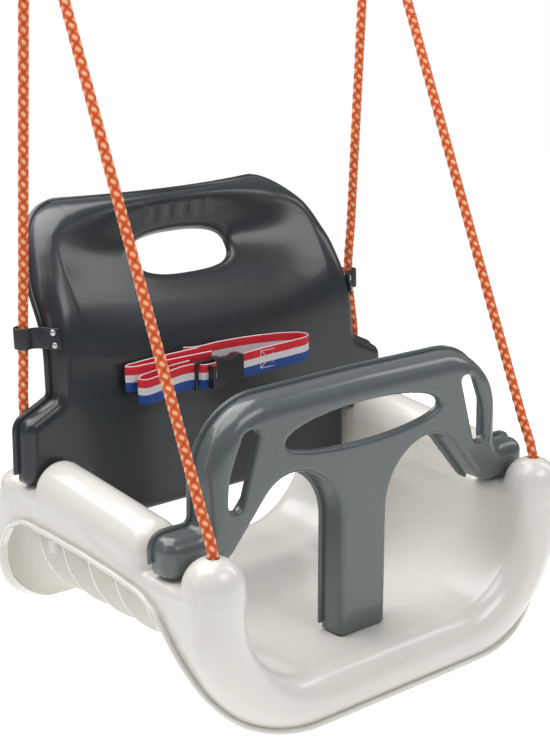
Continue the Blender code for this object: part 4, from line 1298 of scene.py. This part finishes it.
def make_clips():
    for side, word in SIDES:
        plan = clip_path(side)
        path = smooth_path(plan, 1.2)
        lean = np.interp(np.abs(path[:, 0]), (182, 190), (0.25, 0.05))
        clip = ribbon(f"{word}_clip_strap", path, np.full(len(path), CLIP_Z), CLIP_HEIGHT / 2, 2.0, lean)
        finish_piece(clip, "strap_plastic", "swing", f"{word}_rope_clip")
        first, second = plan[1], plan[2]
        along = (second - first) / np.linalg.norm(second - first)
        out = np.array((along[1], -along[0])) * side
        for number, dz in enumerate((-5.5, 5.5)):
            spot = (first + second) / 2 + out * 1.1
            place = to_row([(spot[0], spot[1] + 0.25 * dz, CLIP_Z + dz)])[0] / MM
            profile = [(2.9, 0), (2.9, 0.35), (2.6, 0.9), (1.9, 1.35), (1.0, 1.55), (0.3, 1.6)]
            rivet = lathe(f"{word}_rivet_head_{number + 1}", profile, place,
                          seat_direction((out[0], out[1], 0)), 24, 60)
            finish_piece(rivet, "steel", "swing", f"{word}_clip_rivet_{number + 1}")


# ---------------------------------------------------------------- belt and buckle

TAPE_HALF = 12.2
TAPE_THICK = 1.5
BELT_FACE_Y = float(np.interp(BELT_SLOT[2], BACK_Z, BACK_Y))


def tape(name, route, body, *nodes):
    """Webbing along a route of (x, distance in front of the backrest, middle height, lean)."""
    route = smooth_path(route, 1.5)
    plan = np.stack([route[:, 0], BELT_FACE_Y - route[:, 1]], axis=1)
    ahead = np.gradient(plan, axis=0)
    ahead /= np.linalg.norm(ahead, axis=1)[:, None]
    side = np.stack([-ahead[:, 1], ahead[:, 0]], axis=1) * TAPE_THICK / 2
    step = np.linalg.norm(np.diff(plan, axis=0), axis=1)
    walked = np.concatenate([[0], np.cumsum(step)])
    rises = np.array((-1.0, -0.94, -0.6, -0.2, 0.2, 0.6, 0.94, 1.0)) * TAPE_HALF
    thin = np.array((0.25, 0.8, 1, 1, 1, 1, 0.8, 0.25))
    ring = [(r, t) for r, t in zip(rises, thin)] + [(r, -t) for r, t in zip(rises[::-1], thin[::-1])]
    points, marks = [], []
    for k in range(len(route)):
        for rise, share in ring:
            x, y = plan[k] + side[k] * share
            points.append((x, y + rise * route[k, 3], route[k, 2] + rise))
            marks.append((walked[k], (rise / TAPE_HALF + 1) / 2))
    strip = mesh_object(name, to_row(points), tube_faces(len(route), len(ring)), 60)
    layer = strip.data.uv_layers.new(name="tape")
    corners = np.zeros(len(strip.data.loops), np.int32)
    strip.data.loops.foreach_get("vertex_index", corners)
    layer.data.foreach_set("uv", np.array(marks, np.float32)[corners].ravel())
    face_outward(strip)
    finish_piece(strip, "webbing", body, *nodes)
    return strip


def make_belt():
    """The right strap runs from its slot to a loop and back; the left one lies in curled folds."""
    tape("belt_right_strap",
         [(-42, -1.5, 216, 0.05), (-36, 2.2, 216, 0.05), (0, 2.6, 216, 0.06), (55, 2.2, 213.5, 0.06),
          (86, 2.4, 210.5, 0.05), (99, 5.5, 209, 0.03), (103, 10.5, 208, 0.0), (97, 15.5, 207.5, 0.0),
          (80, 17.5, 207, 0.0), (50, 16.2, 205.6, 0.0), (14, 15.2, 203.6, 0.0)],
         "swing", "belt_front_right")
    tape("belt_fold_inner",
         [(-20, 4.6, 215, 0.05), (-60, 4.6, 214.5, 0.05), (-102, 4.6, 213, 0.04), (-112, 5.4, 212.5, 0.03),
          (-114.5, 7.0, 212, 0.02), (-110, 8.8, 211.5, 0.02), (-92, 9.2, 211, 0.02), (-50, 8.6, 210.5, 0.02),
          (-16, 8.0, 210, 0.02)],
         "swing", "belt_back_layers")
    tape("belt_left_strap",
         [(-46, 12.3, 207, 0.0), (-70, 12.8, 206, 0.0), (-92, 12.8, 204, 0.0), (-103, 13.8, 202.5, 0.0),
          (-107.5, 17.5, 201.5, 0.0), (-104, 21.5, 201, 0.0), (-92, 22.0, 201.5, 0.0),
          (-74, 18.5, 203, 0.0), (-54, 16.0, 204, 0.0), (-43, 15.6, 203.5, 0.0), (-37.5, 18.0, 203, 0.0),
          (-36.5, 21.0, 203, 0.0), (-31, 22.4, 203, 0.0), (-22, 22.2, 203, 0.0)],
         "buckle_tongue", "belt_front_left")
    make_stitching()


def make_stitching():
    """Box-and-cross seam where the right strap's end is sewn back on itself."""
    x0, x1, z0, z1 = 37.0, 58.0, 197.5, 214.5
    y = BELT_FACE_Y - 16.0 - TAPE_THICK / 2 - 0.15
    corners = [(x0, z0), (x1, z0), (x1, z1), (x0, z1), (x0, z0), (x1, z1)]
    curve = bpy.data.curves.new("belt_seam", "CURVE")
    curve.dimensions = "3D"
    curve.bevel_depth = 0.34 * MM
    curve.bevel_resolution = 2
    curve.use_fill_caps = True
    lines = list(zip(corners, corners[1:])) + [((x0, z1), (x1, z0))]
    for (ax, az), (bx, bz) in lines:
        length = math.hypot(bx - ax, bz - az)
        count = max(2, int(length / 2.6))
        for k in range(count):
            spline = curve.splines.new("POLY")
            spline.points.add(2)
            for point, share, lift in zip(spline.points, (0.12, 0.5, 0.88), (0.1, 0.0, 0.1)):
                t = (k + share) / count
                place = to_row([(ax + t * (bx - ax), y + lift, az + t * (bz - az))])[0]
                point.co = (*place, 1.0)
    seam = placed("belt_seam", curve)
    curve.materials.append(THREAD)
    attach(seam, "swing")


def make_buckle():
    """Side-release buckle: a hollow socket with thumb openings and a three-pronged tongue."""
    start, joint, end = BUCKLE_X
    y, depth = BELT_FACE_Y - 15.5, 10.5
    outline = round_outline([(joint, -14.5, 2), (joint + 9, -14.5, 3), (joint + 14, -11.2, 5),
                             (joint + 22, -11.2, 5), (joint + 27, -14.5, 3), (end, -14.5, 2.5),
                             (end, 14.5, 2.5), (joint + 27, 14.5, 3), (joint + 22, 11.2, 5),
                             (joint + 14, 11.2, 5), (joint + 9, 14.5, 3), (joint, 14.5, 2)], 5)
    socket = prism("buckle_socket_body", outline, -depth / 2, depth / 2,
                   lambda u, v, d: to_row([(u, y + d, BUCKLE_Z + v)])[0])
    cut(socket, box_cutter((30, depth - 4.6, 22.4), (joint + 10, y, BUCKLE_Z)))
    bevel(socket, 0.9, 3, 40)
    apply_modifiers(socket)
    finish_piece(socket, "buckle_plastic", "swing", "buckle_socket")
    back, tip, root = joint - 0.3, joint + 25.5, joint + 7.0
    upper = [(start, 13.8, 3), (back, 13.8, 2), (back, 10.6, 0), (tip - 8, 10.6, 2), (tip, 9.0, 2),
             (tip, 6.5, 1.5), (root, 6.5, 2), (root, 2, 1), (tip, 2, 1)]
    lower = [(u, -v, r) for u, v, r in reversed(upper)]
    tongue = prism("buckle_tongue_body", round_outline(upper + lower, 4), -2.6, 2.6,
                   lambda u, v, d: to_row([(u, y + d, BUCKLE_Z + v)])[0])
    cut(tongue, box_cutter((4.6, 30, 21.5), (start + 6.0, y, BUCKLE_Z)))
    cut(tongue, box_cutter((3.6, 30, 21.5), (start + 13.0, y, BUCKLE_Z)))
    bevel(tongue, 0.7, 3, 40)
    apply_modifiers(tongue)
    finish_piece(tongue, "buckle_plastic", "buckle_tongue", "buckle_tongue")


# ---------------------------------------------------------------- hangers


def make_hangers():
    for side, word in SIDES:
        x = side * APEX.x
        low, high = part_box(f"{word}_ring")
        centre = (low + high) / 2 / MM
        angles = np.linspace(0, 2 * math.pi, 72, endpoint=False)
        wire = (high.y - low.y) / 2 / MM
        reach = (high.x - low.x) / 2 / MM - wire
        circle = [(centre.x + reach * math.cos(a), centre.y, centre.z + reach * math.sin(a)) for a in angles]
        ring = closed_bar(f"{word}_steel_ring", circle, wire, 20)
        finish_piece(ring, "steel", "swing", f"{word}_ring")
        make_link(word)
        make_bracket(side, word)


def make_link(word):
    """Oval welded link with a small weld bead on one side."""
    low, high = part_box(f"{word}_link")
    x = (low.x + high.x) / 2 / MM
    wire = (high.x - low.x) / 2 / MM
    bend = (high.y - low.y) / 2 / MM - wire
    bottom, top = low.z / MM + wire + bend, high.z / MM - wire - bend
    path = arc_points((x, 0, bottom), bend, 180, 360, 20)
    rise = [(x, bend, bottom + (top - bottom) * k / 16) for k in range(1, 16)]
    fall = [(x, -bend, top - (top - bottom) * k / 16) for k in range(1, 16)]
    path = path + rise + arc_points((x, 0, top), bend, 0, 180, 20) + fall
    radii = [wire] * len(path)
    for k, (_, y, z) in enumerate(path):
        if y > 0:
            radii[k] += 0.45 * math.exp(-(((z - (bottom + top) / 2) / 2.2) ** 2))
    link = closed_bar(f"{word}_steel_link", path, radii, 18)
    finish_piece(link, "steel", "swing", f"{word}_link")


def make_bracket(side, word):
    """Folded plate with two ears, a bolt with a flanged head, a nut and a plastic bush."""
    low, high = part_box(f"{word}_bracket")
    bush_low, bush_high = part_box(f"{word}_bush")
    x, bolt_z = (low.x + high.x) / 2 / MM, (bush_low.z + bush_high.z) / 2 / MM
    half_x, half_y = (high.x - low.x) / 2 / MM, (high.y - low.y) / 2 / MM
    top, bottom, ear, thick = high.z / MM, low.z / MM, EAR_X + 2, 4.0
    outline = round_outline([(-half_x, top, 1.2), (-half_x, top - thick, 1.2), (-ear, top - thick, 1.5),
                             (-ear, bottom, 1), (-ear + thick, bottom, 1), (-ear + thick, top - thick, 3),
                             (ear - thick, top - thick, 3), (ear - thick, bottom, 1), (ear, bottom, 1),
                             (ear, top - thick, 1.5), (half_x, top - thick, 1.2), (half_x, top, 1.2)], 4)
    plate = prism(f"{word}_hanger_bracket", outline, -half_y, half_y,
                  lambda u, v, d: np.array((x + u, d, v)) * MM)
    for radius, place, up in ((BOLT_R + 0.5, (x, 0, bolt_z), (1, 0, 0)),
                              (2.5, (x - 23.5, 0, top), (0, 0, 1)), (2.5, (x + 23.5, 0, top), (0, 0, 1))):
        cut(plate, cylinder_cutter(radius, 80 if up[0] else 20, facing(Vector(place) * MM, up)))
    bevel(plate, 0.6, 2, 45)
    apply_modifiers(plate)
    finish_piece(plate, "steel", "hangers", f"{word}_bracket")
    make_bolt(word, x, bolt_z)


def hexagon(name, radius, height, place, chamfer=0.8):
    """Hexagonal head or nut along X, with its corners turned off."""
    obj = bar_object(name, 6, radius, height)
    obj.data.transform(lying_along_x(place))
    bevel(obj, chamfer, 2, 30)
    return apply_modifiers(obj)


def make_bolt(word, x, bolt_z):
    bolt_low, bolt_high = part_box(f"{word}_bolt")
    nut_low, nut_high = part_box(f"{word}_nut")
    place = (bolt_low.x / MM, 0, bolt_z)
    length = (bolt_high.x - bolt_low.x) / MM
    profile = [(3.0, 4.5), (BOLT_R, 4.8)]
    threads = 14
    for k in range(threads):
        z = length - 1.2 - (threads - k) * 1.25
        profile += [(BOLT_R, z), (BOLT_R - 0.5, z + 0.62)]
    profile += [(BOLT_R, length - 1.0), (BOLT_R - 0.8, length)]
    shank = lathe(f"{word}_bolt_shank", profile, place, (1, 0, 0), 28)
    head = hexagon("head", 7.4, 4.9, (bolt_low.x / MM + 2.5, 0, bolt_z))
    bolt = join(shank, head)
    finish_piece(bolt, "steel", "hangers", f"{word}_bolt")
    middle = (nut_low.x + nut_high.x) / 2 / MM
    nut = hexagon(f"{word}_lock_nut", 7.4, 6.0, (middle, 0, bolt_z))
    cut(nut, cylinder_cutter(BOLT_R + 0.35, 20, lying_along_x((middle, 0, bolt_z))))
    finish_piece(nut, "steel", "hangers", f"{word}_nut")
    bush_low, bush_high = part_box(f"{word}_bush")
    half = (bush_high.x - bush_low.x) / 2 / MM
    outer = (bush_high.z - bush_low.z) / 2 / MM
    profile = [(BOLT_R + 0.4, -half), (outer - 0.6, -half), (outer, -half + 0.7), (outer, -6),
               (outer - 0.9, -4.6), (outer - 0.9, 4.6), (outer, 6), (outer, half - 0.7),
               (outer - 0.6, half), (BOLT_R + 0.4, half)]
    bush = turned_ring(f"{word}_pivot_bush", profile, (x, 0, bolt_z))
    finish_piece(bush, "natural_plastic", "swing", f"{word}_bush")


def turned_ring(name, profile, place, around=36):
    """Closed turned ring along X."""
    points = []
    for radius, along in profile:
        for k in range(around):
            a = 2 * math.pi * k / around
            points.append((place[0] + along, place[1] + radius * math.cos(a),
                           place[2] + radius * math.sin(a)))
    return mesh_object(name, np.array(points) * MM, tube_faces(len(profile), around, True))


# ---------------------------------------------------------------- the whole swing


def main():
    make_camera()
    make_ropes()
    make_seat()
    make_bar()
    make_back()
    make_clips()
    make_belt()
    make_buckle()
    make_hangers()
    make_studio(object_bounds()[0])


main()
